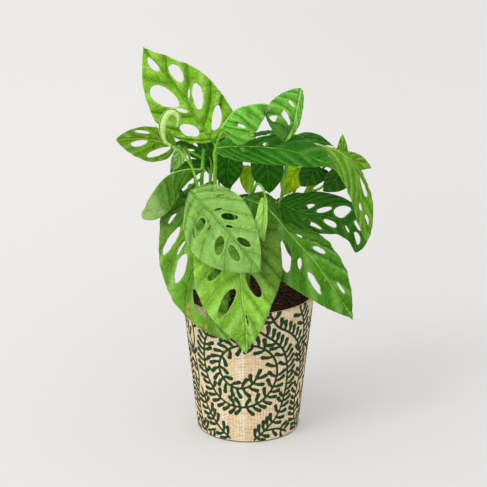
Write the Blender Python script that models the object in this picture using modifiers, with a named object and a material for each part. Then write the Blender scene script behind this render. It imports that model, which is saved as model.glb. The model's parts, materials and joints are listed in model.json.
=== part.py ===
"""Potted Swiss-cheese plant (Monstera adansonii) in a printed woven basket.

Origin: centre of the basket's base, on the surface it stands on. The photographed side faces -Y.
Leaves, stems and pots are dimensioned in millimetres and turned into metres where meshes are made.
"""

import math

import bmesh
import bpy
import numpy as np
from mathutils import Vector
from mathutils.geometry import delaunay_2d_cdt
from mathutils.kdtree import KDTree

MM = 0.001
OBJECT = "potted_monstera"

# Holder, in millimetres
BASKET_HEIGHT = 140.0
BASKET_TOP_RADIUS = 65.0
BASKET_BASE_RADIUS = 50.0
BASKET_WALL = 2.6
BASKET_FLOOR = 3.0
EDGE_RADIUS = 1.3
POT_GAP = 0.6
POT_WALL = 1.3
POT_FLOOR = 2.0
POT_BELOW_RIM = 3.0
DRAIN_HOLE_RADIUS = 4.0
DRAIN_HOLES = 5
DRAIN_CIRCLE = 26.0
SOIL_TOP = 129.5
SOIL_BUMP = 1.6
SOIL_EDGE = 8.0
TOUCH = 0.3
TURN_STEPS = 56
CORNER_STEPS = 5
DRAIN_SIDES = 12
WELD = 0.01

# Plant, in millimetres
BLADE = 0.8
MARGIN_STEP = 9.0
MIDRIB_STEP = 16.0
INNER_STEP = 22.0
HOLE_SIDES = 10
SLIT_SIDES = 6
SLIT = 3.0
VEIN_SWEEP = 1.4
VEIN_CROWD = 2.4
LOBE_REACH = 0.3
STEM_DEPTH = 12.0
STEM_RADIUS = (2.6, 1.9)
STEM_POINTS = 18
PETIOLE_RADIUS = (1.6, 1.2)

# How a petiole finds its way: its clearance, where it ends, and the bends it may take
CLEARANCE = 0.9
ABOVE_SOIL = 6.0
SEAT_INSET = 2.0
SEAT_DEEPEST = 4.0
SEAT_STEP = 0.25
SEAT_LIFTS = (0, 35, 70)
SEAT_SWINGS = (0, 40, -40, 80, -80)
SEAT_RUN = (4.5, 3, 1.5, 0)
LEAVINGS = ((1, 0.3), (0.6, 0.8), (0.1, 1), (-0.4, 1), (1.8, 0.5))
REACHES = (0.2, 0.4, 0.7)
PULLS = (5, 40)
SWING_COST = 9
LIFT_COST = 6
ROUTE_STEPS = 34
ROUTE_KEPT = 3


def unit(v):
    return v / np.linalg.norm(v, axis=-1, keepdims=True)


def spline(points, count=80):
    """A smooth curve through the points, evenly spaced along its length."""
    p = np.asarray(points, float)
    p = np.vstack([2 * p[0] - p[1], p, 2 * p[-1] - p[-2]])
    x = np.linspace(0, 1, 24, endpoint=False)[:, None]
    curve = []
    for a, b, c, d in zip(p[:-3], p[1:-2], p[2:-1], p[3:]):
        linear = c - a
        square = 2 * a - 5 * b + 4 * c - d
        cube = 3 * b - a - 3 * c + d
        curve.append(b + (linear * x + square * x**2 + cube * x**3) / 2)
    curve = np.vstack(curve + [p[-2][None]])
    run = np.concatenate([[0], np.cumsum(np.linalg.norm(np.diff(curve, axis=0), axis=1))])
    even = np.linspace(0, run[-1], count)
    return np.stack([np.interp(even, run, curve[:, k]) for k in range(3)], axis=1)


def pair(value):
    return value if isinstance(value, tuple) else (value, value)


def half_width(s, swell, taper):
    """Margin half-width along the blade, 1 at its widest row."""
    peak = swell / (swell + taper)
    return s**swell * (1 - s) ** taper / (peak**swell * (1 - peak) ** taper)


class Leaf:
    """A blade on a bent midrib, in vein coordinates.

    s runs from base to tip along the margin, and t from the midrib (0) to the margin (1) along a
    side vein. width, lobe, swell, taper, fold and curl may be pairs: the side of +facing x midrib
    first. A hole is (side, s, t, half-size in s, half-size in t, slant), an ellipse between veins.
    """

    def __init__(self, name, midrib, facing, width=0.33, fold=0.25, curl=-0.2, wave=(1.5, 3, 0),
                 holes=(), lobe=0.14, swell=0.5, taper=0.9):
        self.name = name
        self.path = spline(midrib)
        self.length = np.linalg.norm(np.diff(self.path, axis=0), axis=1).sum()
        self.along = unit(np.gradient(self.path, axis=0))
        ways = np.asarray(facing, float)
        ways = ways[None] if ways.ndim == 1 else ways
        spots = np.linspace(0, 1, len(self.path))
        places = np.linspace(0, 1, len(ways))
        up = np.stack([np.interp(spots, places, ways[:, k]) for k in range(3)], axis=1)
        self.up = unit(up - (up * self.along).sum(1, keepdims=True) * self.along)
        self.shape = [dict(width=w, lobe=lo, swell=sw, taper=ta)
                      for w, lo, sw, ta in zip(pair(width), pair(lobe), pair(swell), pair(taper))]
        self.fold = pair(fold)
        self.curl = pair(curl)
        self.wave = wave
        self.holes = holes

    def flat(self, s, t, side):
        """Place on the flattened blade, as shares of its length."""
        shape = self.shape[0 if side > 0 else 1]
        margin = s - shape["lobe"] * np.sin(np.pi * np.minimum(1, s / LOBE_REACH))
        vein = s**VEIN_CROWD
        reach = shape["width"] * half_width(s, shape["swell"], shape["taper"])
        return vein + (margin - vein) * t**VEIN_SWEEP, t * reach

    def frame(self, u):
        """Midrib point, midrib direction and facing at share u of the length."""
        row = np.clip(u, 0, 1) * (len(self.path) - 1)
        near = np.minimum(row.astype(int), len(self.path) - 2)
        part = (row - near)[..., None]
        mixed = [a[near] * (1 - part) + a[near + 1] * part for a in (self.path, self.along, self.up)]
        beyond = (u - np.clip(u, 0, 1))[..., None] * self.length
        return mixed[0] + beyond * mixed[1], unit(mixed[1]), unit(mixed[2])

    def surface(self, s, t, side):
        """Point on the blade's middle surface, in millimetres."""
        s, t = np.broadcast_arrays(np.asarray(s, float), np.asarray(t, float))
        which = 0 if side > 0 else 1
        u, v = self.flat(s, t, side)
        centre, along, up = self.frame(u)
        across = np.cross(up, along)
        full = self.shape[which]["width"] * self.length
        bend = [np.interp(np.clip(u, 0, 1), np.linspace(0, 1, len(np.atleast_1d(k))), np.atleast_1d(k))
                for k in (self.fold[which], self.curl[which])]
        fold, curl = bend[0], np.where(np.abs(bend[1]) < 1e-3, 1e-3, bend[1])
        turned = fold + curl * v / self.shape[which]["width"]
        x = full / curl * (np.sin(turned) - np.sin(fold))
        z = -full / curl * (np.cos(turned) - np.cos(fold))
        size, count, start = self.wave
        z = z + size * np.sin(2 * np.pi * count * s + start + 1.3 * which) * t**2
        return centre + across * (side * x)[..., None] + up * z[..., None]


def slits(rows, ds=0.035, dt=0.27, t=0.5):
    """Holes between the side veins of a leaf that is seen only in part."""
    return [(side, s + (0.03 if side > 0 else 0), t, ds, dt) for s in rows for side in (1, -1)]


# Points are millimetres from the centre of the basket's base, from each leaf's base to its tip.
LEAVES = [
    Leaf("leaf_top_left",
         [(-34, 0, 292), (-50, 3, 316), (-65, 8, 339), (-85, 14, 363), (-100, 16, 381)],
         [(-0.1, -0.9, 0.3), (-0.3, -0.9, 0.2)],
         width=(0.315, 0.30), swell=(0.78, 0.5), taper=(1.0, 1.1), lobe=(0, 0.14), fold=0.15,
         wave=(1, 3, 0),
         holes=[(1, 0.917, 0.37, 0.037, 0.32), (1, 0.708, 0.55, 0.083, 0.33),
                (1, 0.623, 0.26, 0.017, 0.14), (1, 0.412, 0.35, 0.085, 0.21, -0.12),
                (-1, 0.777, 0.58, 0.058, 0.28, -0.1), (-1, 0.594, 0.47, 0.06, 0.26, -0.02),
                (-1, 0.685, 0.31, 0.01, 0.12), (-1, 0.323, 0.46, 0.066, 0.28)]),
    Leaf("leaf_far_left",
         [(-70, -5, 289), (-90, -8, 296), (-110, -10, 298), (-126, -10, 297)], (-0.1, -0.8, 0.6),
         width=(0.41, 0.22), swell=(0.65, 0.6), taper=(0.85, 0.8), lobe=(0.03, 0.05), wave=(0.6, 2, 0),
         holes=[(-1, 0.69, 0.68, 0.066, 0.17, 0.17), (1, 0.792, 0.33, 0.064, 0.29, 0.09),
                (1, 0.438, 0.46, 0.11, 0.38, 0.24)]),
    Leaf("leaf_top_front",
         [(-27, -42, 317), (-13, -42, 335), (2, -40, 340), (15, -36, 340), (23, -32, 335)],
         [(-0.3, -0.5, 0.8), (0.2, -0.5, 0.8)],
         width=(0.27, 0.48), fold=(-1.2, -0.5), curl=(-0.3, -0.2), lobe=(0, 0.12), swell=(0.7, 0.5),
         wave=(1.0, 2.5, 1), holes=[(-1, 0.45, 0.55, 0.04, 0.25)]),
    Leaf("leaf_top_middle",
         [(50, -8, 347), (46, -20, 331), (42, -32, 316), (34, -38, 303)],
         [(0.1, -0.5, 0.8), (0.1, -0.95, 0.2)],
         width=(0.1, 0.54), fold=(0.1, 0.2), curl=(-0.2, -0.3), lobe=(0, 0.02),
         swell=(0.6, 0.8), taper=(0.8, 0.5), wave=(0.8, 3, 0),
         holes=[(-1, 0.78, 0.72, 0.06, 0.16, 0.1), (-1, 0.755, 0.33, 0.052, 0.18, -0.5),
                (-1, 0.555, 0.26, 0.03, 0.16, -0.5)]),
    Leaf("leaf_middle_long",
         [(-33, -20, 292), (-12, -28, 296), (20, -32, 296), (50, -36, 291), (80, -38, 280)],
         (0, -0.5, 0.8), width=(0.2, 0.145), fold=(0, -0.3), lobe=0.03, swell=0.75, taper=(0.6, 0.9),
         wave=(0.6, 2, 0),
         holes=[(-1, 0.53, 0.20, 0.016, 0.11, -0.19), (1, 0.689, 0.16, 0.014, 0.11, -0.12),
                (1, 0.55, 0.55, 0.03, 0.25)]),
    Leaf("leaf_right_drooping",
         [(41, -10, 297), (68, -14, 293), (91, -16, 284), (104, -16, 262), (109, -15, 234),
          (114, -12, 196)],
         [(0, -0.6, 0.8), (0.5, -0.7, 0.4), (0.6, -0.8, 0.1)],
         width=(0.08, 0.15), fold=([-1.3, -0.9, -0.3, 0.3, 0.3], [-0.2, 0.2, 0.4, 0.4]), lobe=0.04,
         swell=(1.2, 0.5), taper=(0.5, 0.8), wave=(0.8, 3, 0),
         holes=[(1, 0.783, 0.42, 0.036, 0.22), (1, 0.924, 0.42, 0.019, 0.24),
                (-1, 0.865, 0.40, 0.021, 0.16, -0.09), (-1, 0.47, 0.55, 0.02, 0.2)]),
    Leaf("leaf_right_upper", [(89, 10, 273), (100, 12, 270), (110, 14, 266), (119, 14, 262)],
         [(0, -0.8, 0.6), (0.3, -0.9, 0.3)], width=(0.25, 0.32), wave=(0.5, 2, 0)),
    Leaf("leaf_right_small", [(91, 15, 266), (91, 17, 279), (91, 19, 294)], (0, -1, 0.2),
         width=0.2, wave=(0.3, 2, 0)),
    Leaf("leaf_right_dark",
         [(31, 0, 231), (50, 4, 220), (70, 6, 216), (90, 6, 210), (103, 4, 196), (105, 2, 179)],
         [(0, -0.8, 0.6), (0.3, -0.9, 0.3)],
         width=(0.225, 0.19), lobe=0.04, swell=(0.55, 0.45), taper=(0.6, 0.85), wave=(0.8, 3, 0),
         holes=[(1, 0.544, 0.27, 0.044, 0.17, 0.09), (1, 0.682, 0.29, 0.033, 0.19, 0.03),
                (1, 0.757, 0.47, 0.035, 0.33, -0.13), (1, 0.934, 0.27, 0.029, 0.24),
                (1, 0.857, 0.61, 0.03, 0.15, -0.07), (-1, 0.514, 0.6, 0.042, 0.21, 0.09),
                (-1, 0.716, 0.46, 0.049, 0.24, -0.08), (-1, 0.865, 0.27, 0.017, 0.22)]),
    Leaf("leaf_front_right",
         [(-3, -17, 241), (19, -32, 235), (40, -44, 213), (64, -48, 186), (84, -46, 155),
          (101, -42, 127)],
         [(0.2, -0.4, 0.9), (0.3, -0.8, 0.5), (0.3, -0.9, 0.3)],
         width=(0.195, 0.24), swell=(0.72, 0.5), taper=(1.0, 0.95), lobe=0.05,
         fold=([0.25, -0.9, -0.35, 0, 0.3], [-0.3, -0.3, -0.15, 0.1, 0.25]), wave=(0.8, 4, 0),
         holes=[(-1, 0.606, 0.53, 0.038, 0.28, -0.1), (-1, 0.702, 0.45, 0.011, 0.13, -0.08),
                (-1, 0.779, 0.62, 0.034, 0.16, 0.08), (1, 0.878, 0.55, 0.021, 0.11, 0.03),
                (1, 0.62, 0.43, 0.02, 0.17), (1, 0.7, 0.56, 0.016, 0.14, -0.05)]),
    Leaf("leaf_front_pale", [(-55, -35, 254), (-30, -58, 234), (-8, -76, 213), (11, -86, 191)],
         [(0, -0.6, 0.8), (0, -0.9, 0.3)],
         width=(0.29, 0.38), lobe=0, swell=(0.55, 0.95), wave=(0.8, 3, 0),
         holes=[(1, 0.65, 0.41, 0.035, 0.23, -0.055), (1, 0.58, 0.26, 0.01, 0.13, -0.11),
                (1, 0.393, 0.56, 0.015, 0.12, -0.13), (1, 0.739, 0.19, 0.012, 0.12),
                (1, 0.843, 0.36, 0.029, 0.29), (-1, 0.853, 0.43, 0.038, 0.21, 0.05),
                (-1, 0.753, 0.5, 0.033, 0.24, -0.03), (-1, 0.545, 0.51, 0.043, 0.26, -0.15),
                (-1, 0.646, 0.37, 0.01, 0.13, -0.08)]),
    Leaf("leaf_front_middle",
         [(-10, -53, 221), (-9, -61, 211), (-8, -69, 193), (-6, -74, 162), (-2, -76, 131),
          (-2, -74, 103)],
         [(0, -0.6, 0.8), (0, -1, 0.2)],
         width=(0.325, 0.36), taper=(1.25, 1.05), wave=(0.8, 3, 0),
         holes=[(-1, 0.7, 0.55, 0.041, 0.34, -0.04), (1, 0.634, 0.45, 0.05, 0.27),
                (1, 0.862, 0.2, 0.02, 0.14, 0.06), (-1, 0.48, 0.6, 0.034, 0.17, -0.12)]),
    Leaf("leaf_front_left",
         [(-55, -20, 243), (-51, -38, 216), (-49, -52, 188), (-42, -61, 158), (-30, -65, 132),
          (-17, -67, 114)],
         [(-0.3, -0.8, 0.6), (-0.3, -0.9, 0.2)], width=(0.2, 0.262), swell=(1.1, 0.56),
         taper=(1.2, 0.9), lobe=(0, 0.14), fold=([-0.2, -0.1, 0.1, 0.3], 0), wave=(0.8, 3, 0),
         holes=[(-1, 0.257, 0.59, 0.013, 0.14), (-1, 0.407, 0.63, 0.054, 0.26, -0.04),
                (-1, 0.549, 0.42, 0.016, 0.13, 0.02), (-1, 0.632, 0.52, 0.041, 0.25, -0.04),
                (-1, 0.829, 0.44, 0.053, 0.17, 0.09), (1, 0.5, 0.5, 0.03, 0.25)]),
    Leaf("leaf_left_olive",
         [(-42, -10, 268), (-61, -18, 270), (-78, -24, 265), (-90, -32, 253), (-97, -34, 240),
          (-101, -34, 226)],
         [(-0.1, -0.5, 0.8), (-0.8, -0.6, 0.3)],
         width=(0.27, 0.2), fold=(-0.6, [-1.4, -1.4, -1.2, -0.4]), swell=(0.9, 0.8), taper=(0.45, 0.5),
         lobe=0, wave=(0.5, 2, 0)),
    Leaf("leaf_left_dark", [(-63, 0, 242), (-78, -4, 232), (-91, -4, 220)], (-0.2, -0.8, 0.5),
         width=0.32, wave=(0.4, 2, 0), holes=slits((0.4, 0.65), 0.05, 0.25)),
    Leaf("leaf_front_young", [(16, -60, 254), (15, -64, 238), (14, -67, 224), (15, -68, 214)],
         (0, -1, 0.2), width=0.2, swell=0.9, fold=(1.3, 0.1), wave=(0.2, 2, 0)),
    Leaf("leaf_lime_large", [(50, 25, 258), (42, 25, 246), (34, 25, 230)], (0, -0.9, 0.4),
         width=0.35, wave=(0.4, 2, 0)),
    Leaf("leaf_lime_small", [(0, 20, 262), (-1, 20, 250), (-1, 20, 234)], (0, -0.9, 0.4),
         width=0.27, wave=(0.2, 2, 0)),
    Leaf("leaf_under_left", [(68, 10, 265), (60, 14, 254), (52, 16, 242)], (0, -0.8, -0.5),
         width=0.5, wave=(0.4, 2, 0)),
    Leaf("leaf_under_right", [(91, 3, 262), (83, 7, 251), (73, 9, 239)], (0, -0.8, -0.5),
         width=(0.5, 0.42), wave=(0.4, 2, 0)),
    Leaf("leaf_inner", [(16, 6, 276), (19, 8, 258), (21, 8, 238)], (0, -0.9, 0.3), width=0.42,
         wave=(0.5, 2, 0)),
    Leaf("leaf_inner_left", [(-18, 10, 276), (-20, 12, 260), (-20, 12, 241)], (0, -0.9, 0.3),
         width=0.42, wave=(0.5, 2, 0)),
    Leaf("leaf_inner_low", [(-20, -16, 236), (-21, -23, 212), (-26, -29, 188), (-32, -32, 160)],
         (0, -0.9, 0.3), width=0.18, wave=(0.5, 2, 0)),
    Leaf("leaf_inner_tall", [(-34, 26, 292), (-36, 28, 272), (-37, 28, 250)], (0, -0.9, 0.3),
         width=0.33, wave=(0.5, 2, 0)),
    Leaf("leaf_behind_long", [(40, 14, 285), (58, 15, 291), (82, 15, 284)], (0, -0.5, 0.85),
         width=(0.17, 0.15), wave=(0.5, 2, 0)),
    Leaf("leaf_left_crumpled", [(-62, -8, 289), (-67, -12, 278), (-74, -12, 265)], (-0.3, -0.9, 0.2),
         width=0.24, wave=(1.2, 3, 1)),
    Leaf("leaf_inner_dark", [(-38, 14, 274), (-54, 16, 282), (-72, 18, 285)], (0, -0.8, 0.5),
         width=0.27, wave=(0.6, 2, 0), holes=slits((0.4, 0.65), 0.05, 0.25)),
    Leaf("leaf_inner_band", [(-40, 14, 265), (-56, 12, 265), (-72, 10, 259)], (0, -0.5, 0.9),
         width=0.2, wave=(0.4, 2, 0)),
    Leaf("leaf_back_middle", [(-10, 34, 226), (-13, 54, 210), (-16, 68, 178), (-16, 74, 146)],
         [(0, 0.6, 0.8), (0, 0.9, 0.3)], width=0.25, lobe=0.1, holes=slits((0.3, 0.5, 0.66, 0.8))),
    Leaf("leaf_back_right", [(28, 30, 224), (36, 46, 212), (44, 60, 184), (46, 68, 148)],
         [(0.2, 0.6, 0.8), (0.2, 0.9, 0.3)], width=0.24, lobe=0.1, holes=slits((0.3, 0.5, 0.66, 0.8))),
    Leaf("leaf_back_top", [(-7, 24, 272), (-9, 48, 284), (-11, 74, 280)], (0, 0, 1),
         width=0.3, wave=(0.6, 3, 0), holes=slits((0.4, 0.65), 0.05, 0.25)),
    Leaf("leaf_back_left", [(-45, 24, 240), (-49, 36, 222), (-50, 48, 192), (-46, 52, 162)],
         [(-0.3, 0.6, 0.8), (-0.2, 0.9, 0.3)], width=0.2, wave=(1, 3, 0),
         holes=slits((0.35, 0.55, 0.75))),
    Leaf("leaf_back_far", [(58, 22, 268), (72, 42, 262), (84, 68, 244)], (0.2, 0.2, 0.9),
         width=0.3, wave=(0.6, 3, 0), holes=slits((0.4, 0.65), 0.05, 0.25)),
]
BLADES = {leaf.name: leaf for leaf in LEAVES}

# The young leaf that is still rolled up: its axis and its radius at each point
ROLLED = "leaf_rolled"
ROLL_PATH = [(-73, -29, 297), (-79, -30, 302), (-81, -30, 315), (-77, -30, 327), (-71, -30, 330),
             (-66, -30, 325), (-67, -30, 316)]
ROLL_RADII = (1.4, 2.2, 4.0, 4.3, 4.0, 2.8, 0.8)

# Each vine: its main stem, from inside the soil upwards, and the leaves that it carries
VINES = {
    "vine_left": ([(-36, -14), (-42, -10, 180), (-45, -2, 240), (-43, 4, 284)],
                  ["leaf_front_pale", "leaf_front_left", "leaf_left_olive", "leaf_left_dark",
                   "leaf_far_left", ROLLED, "leaf_left_crumpled", "leaf_inner_dark", "leaf_inner_band",
                   "leaf_back_left"]),
    "vine_middle": ([(-18, 0), (-26, 0, 180), (-32, 0, 240), (-31, -2, 288)],
                    ["leaf_top_left", "leaf_middle_long", "leaf_top_front", "leaf_back_top",
                     "leaf_front_right", "leaf_back_middle", "leaf_front_middle",
                     "leaf_inner_left", "leaf_inner_low", "leaf_inner_tall"]),
    "vine_inner": ([(-2, 8), (1, 10, 180), (2, 10, 256)],
                   ["leaf_lime_small", "leaf_inner", "leaf_top_middle", "leaf_front_young"]),
    "vine_right": ([(14, 10), (24, 16, 180), (34, 16, 240), (38, 10, 275)],
                   ["leaf_right_dark", "leaf_right_drooping", "leaf_lime_large",
                    "leaf_back_right", "leaf_behind_long"]),
    "vine_far_right": ([(22, 22), (29, 27, 180), (44, 28, 212), (68, 22, 250)],
                       ["leaf_under_left", "leaf_under_right", "leaf_right_upper",
                        "leaf_right_small", "leaf_back_far"]),
}


def clear_scene():
    for old in list(bpy.data.objects):
        bpy.data.objects.remove(old, do_unlink=True)


def new_collection(name):
    made = bpy.data.collections.new(name)
    bpy.context.scene.collection.children.link(made)
    return made


def make_material(name, colour, roughness):
    made = bpy.data.materials.new(name)
    made.use_nodes = True
    shader = made.node_tree.nodes["Principled BSDF"]
    shader.inputs["Base Color"].default_value = (*colour, 1)
    shader.inputs["Roughness"].default_value = roughness
    shader.inputs["Metallic"].default_value = 0.0
    made.diffuse_color = (*colour, 1)
    return made


def add_object(name, mesh, collection, material=None):
    made = bpy.data.objects.new(name, mesh)
    collection.objects.link(made)
    if material:
        mesh.materials.append(material)
    return made


def as_cutter(obj, collection):
    """Keeps a helper shape out of the renders and of the build."""
    for owner in list(obj.users_collection):
        owner.objects.unlink(obj)
    collection.objects.link(obj)
    obj.hide_render = True
    obj.display_type = "WIRE"
    return obj


def combine(obj, other, operation, solver="EXACT"):
    boolean = obj.modifiers.new(f"{operation.lower()} {other.name}", "BOOLEAN")
    boolean.operation = operation
    boolean.object = other
    boolean.solver = solver


def evaluated_mesh(obj):
    bpy.context.view_layer.update()
    graph = bpy.context.evaluated_depsgraph_get()
    return bpy.data.meshes.new_from_object(obj.evaluated_get(graph))


def turned(name, profile, collection, material):
    """A body of revolution: the profile, in millimetres, runs down its outer side."""
    mesh = bpy.data.meshes.new(name)
    shape = bmesh.new()
    points = [shape.verts.new((r * MM, 0, z * MM)) for r, z in profile]
    for a, b in zip(points, points[1:]):
        shape.edges.new((a, b))
    shape.to_mesh(mesh)
    shape.free()
    made = add_object(name, mesh, collection, material)
    screw = made.modifiers.new("turn", "SCREW")
    screw.steps = screw.render_steps = TURN_STEPS
    screw.use_merge_vertices = True
    screw.merge_threshold = WELD * MM
    screw.use_smooth_shade = True
    return made


def arc(centre, radius, start, end, count):
    """Points of a profile's round corner, with angles in degrees from +X."""
    angles = np.radians(np.linspace(start, end, count))
    return [(centre[0] + radius * math.cos(a), centre[1] + radius * math.sin(a)) for a in angles]


def outer_radius(z):
    """The basket's outer radius at height z."""
    return BASKET_BASE_RADIUS + (BASKET_TOP_RADIUS - BASKET_BASE_RADIUS) * z / BASKET_HEIGHT


def pot_radius(z):
    """The nursery pot's outer radius at height z."""
    return outer_radius(z) - BASKET_WALL - POT_GAP


def make_basket(collection, material):
    rim = BASKET_WALL / 2
    crown = BASKET_HEIGHT - rim
    foot = 3 * EDGE_RADIUS
    profile = [(0, BASKET_FLOOR), (outer_radius(BASKET_FLOOR) - BASKET_WALL, BASKET_FLOOR)]
    profile += arc((outer_radius(crown) - rim, crown), rim, 180, 0, CORNER_STEPS)
    profile += arc((outer_radius(foot) - foot, foot), foot, 0, -90, CORNER_STEPS)
    profile += [(0, 0)]
    return turned("basket", profile, collection, material)


def make_nursery_pot(collection, cutters, material):
    bottom = BASKET_FLOOR + TOUCH
    floor = bottom + POT_FLOOR
    top = BASKET_HEIGHT - POT_BELOW_RIM
    profile = [(0, floor), (pot_radius(floor) - POT_WALL, floor), (pot_radius(top) - POT_WALL, top),
               (pot_radius(top), top), (pot_radius(bottom), bottom), (0, bottom)]
    pot = turned("nursery_pot", profile, collection, material)
    for index in range(DRAIN_HOLES):
        angle = math.tau * (index + 0.5) / DRAIN_HOLES
        place = (DRAIN_CIRCLE * math.cos(angle) * MM, DRAIN_CIRCLE * math.sin(angle) * MM, bottom * MM)
        bpy.ops.mesh.primitive_cylinder_add(vertices=DRAIN_SIDES, radius=DRAIN_HOLE_RADIUS * MM,
                                            depth=4 * POT_FLOOR * MM, location=place)
        hole = as_cutter(bpy.context.active_object, cutters)
        hole.name = f"drain_hole_{index + 1}"
        combine(pot, hole, "DIFFERENCE")
    return pot


def soil_height(x, y):
    """Lumps of the soil's surface, in millimetres."""
    long = np.sin(0.19 * x + 0.7) * np.cos(0.16 * y - 0.4)
    short = np.sin(0.41 * x - 0.33 * y + 1.9) * np.cos(0.37 * y + 0.22 * x)
    return SOIL_BUMP * (0.6 * long + 0.4 * short)


def make_soil(collection, material):
    bottom = BASKET_FLOOR + TOUCH + POT_FLOOR + TOUCH
    wall = POT_WALL + TOUCH
    edge = pot_radius(SOIL_TOP) - wall
    rings = [(edge * share, SOIL_TOP) for share in (0, 0.2, 0.4, 0.6, 0.8, 0.93, 1)]
    profile = rings + [(pot_radius(bottom) - wall, bottom), (0, bottom)]
    draft = turned("soil_turned", profile, collection, material)
    mesh = evaluated_mesh(draft)
    bpy.data.objects.remove(draft)
    for vertex in mesh.vertices:
        x, y, z = vertex.co / MM
        if z > SOIL_TOP - 1:
            vertex.co.z += soil_height(x, y) * min(1, (edge - math.hypot(x, y)) / SOIL_EDGE) * MM
    return add_object("soil", mesh, collection)


def tube(name, path, radii, collection, sides=1):
    """A stem through the path's points, in millimetres, with one radius for each."""
    curve = bpy.data.curves.new(name, "CURVE")
    curve.dimensions = "3D"
    curve.bevel_depth = radii[0] * MM
    curve.bevel_resolution = sides
    curve.use_fill_caps = True
    line = curve.splines.new("POLY")
    line.points.add(len(path) - 1)
    for point, place, radius in zip(line.points, path, radii):
        point.co = (*(MM * v for v in place), 1)
        point.radius = radius / radii[0]
    drawn = bpy.data.objects.new(name + "_curve", curve)
    collection.objects.link(drawn)
    mesh = evaluated_mesh(drawn)
    bpy.data.objects.remove(drawn)
    welded = bmesh.new()
    welded.from_mesh(mesh)
    bmesh.ops.remove_doubles(welded, verts=welded.verts, dist=WELD * MM)
    bmesh.ops.recalc_face_normals(welded, faces=welded.faces)
    welded.to_mesh(mesh)
    welded.free()
    mesh.shade_smooth()
    return add_object(name, mesh, collection)


def blade_object(leaf, collection, material):
    """Triangulates the flattened blade round its holes, then bends it into place."""
    flat, places, edges, rings = [], [], [], []

    def add(s, t, side, ring=-1):
        u, v = leaf.flat(np.float64(s), np.float64(t), side)
        flat.append(Vector((u * leaf.length, side * v * leaf.length)))
        places.append((s, t, side))
        rings.append(ring)
        return len(flat) - 1

    def join(ring):
        edges.extend(zip(ring, ring[1:]))

    rows = max(7, round(leaf.length / MARGIN_STEP))
    along = [0.5 - 0.5 * math.cos(math.pi * k / rows) for k in range(rows + 1)]
    base, tip = add(0, 0, 1), add(1, 0, 1)
    upper = [add(s, 1, 1) for s in along[1:-1]]
    lower = [add(s, 1, -1) for s in reversed(along[1:-1])]
    join([base, *upper, tip, *lower, base])
    ribs = max(3, round(leaf.length / MIDRIB_STEP))
    join([base, *[add((k / ribs) ** (1 / VEIN_CROWD), 0, 1) for k in range(1, ribs)], tip])
    for number, (side, s0, t0, ds, dt, *slant) in enumerate(leaf.holes):
        slope = slant[0] if slant else 0
        count = HOLE_SIDES if ds * leaf.length > SLIT else SLIT_SIDES
        angles = [math.tau * (k + 0.5) / count for k in range(count)]
        ring = [add(s0 + ds * math.cos(a) + slope * dt * math.sin(a), t0 + dt * math.sin(a), side,
                    number) for a in angles]
        join(ring + ring[:1])
    for s in np.linspace(0, 1, max(3, round(leaf.length / INNER_STEP)) + 1)[1:-1]:
        for side in (1, -1):
            if all(hole[0] != side or abs(hole[1] - s) >= hole[3] + 0.03 for hole in leaf.holes):
                add(s, 0.5, side)
    # The triangulation keeps what lies inside the outline; a face with all its corners on one
    # hole's ring fills that hole, so it is left out.
    _, _, faces, origin, _, _ = delaunay_2d_cdt(flat, edges, [], 1, 0.001 * WELD)
    source = [sources[0] for sources in origin]
    ring = [rings[k] for k in source]
    faces = [face for face in faces if ring[face[0]] < 0 or len({ring[k] for k in face}) > 1]
    mesh = bpy.data.meshes.new(leaf.name)
    mesh.from_pydata([tuple(leaf.surface(*places[k]) * MM) for k in source], [], faces)
    mesh.shade_smooth()
    made = add_object(leaf.name, mesh, collection, material)
    thick = made.modifiers.new("thickness", "SOLIDIFY")
    thick.thickness = BLADE * MM
    thick.offset = 0
    return made


def blade_cloud(leaf, step):
    """Points all over a blade, holes too, about a step apart."""
    rows = np.linspace(0, 1, 2 + int(leaf.length / step))[:, None]
    lines = np.linspace(0, 1, 2 + int(leaf.length * 0.3 / step))[None]
    return np.vstack([leaf.surface(rows, lines, side).reshape(-1, 3) for side in (1, -1)])


def tree_of(points):
    tree = KDTree(len(points))
    for index, point in enumerate(points):
        tree.insert(point, index)
    tree.balance()
    return tree


def clear_of(tree, points, distance):
    return all(tree.find(point)[2] >= distance for point in points)


def apart(points, others):
    return np.linalg.norm(points[:, None] - others[None], axis=2).min()


def bezier(a, b, c, d, count):
    x = np.linspace(0, 1, count)[:, None]
    return a * (1 - x) ** 3 + 3 * b * x * (1 - x) ** 2 + 3 * c * x**2 * (1 - x) + d * x**3


def ring_points(path):
    """Points on the skin of a petiole's last stretch."""
    way = unit(path[-1] - path[-2])
    first = unit(np.cross(way, (0.3, 0.5, 0.8)))
    second = np.cross(way, first)
    angles = np.linspace(0, math.tau, 8, endpoint=False)
    return [place + PETIOLE_RADIUS[1] * (first * math.cos(a) + second * math.sin(a))
            for place in path[-5:] for a in angles]


def skin_is_clear(own, path):
    return clear_of(own, ring_points(path), BLADE / 2 + 0.8 * TOUCH)


def seat_of(leaf, own, lift, swing):
    """Where a petiole ends under a blade, near its base, and the way it points there."""
    centre, along, up = leaf.frame(np.float64(SEAT_INSET / leaf.length))
    across = np.cross(up, along)
    level = along * math.cos(swing) + across * math.sin(swing)
    way = level * math.cos(lift) + up * math.sin(lift)
    depth = BLADE / 2 + TOUCH + PETIOLE_RADIUS[1] * math.cos(lift)
    for extra in np.arange(0, SEAT_DEEPEST, SEAT_STEP):
        end = centre - up * (depth + extra)
        if skin_is_clear(own, np.array([end - back * way for back in SEAT_RUN])):
            break
    return end, way


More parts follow.
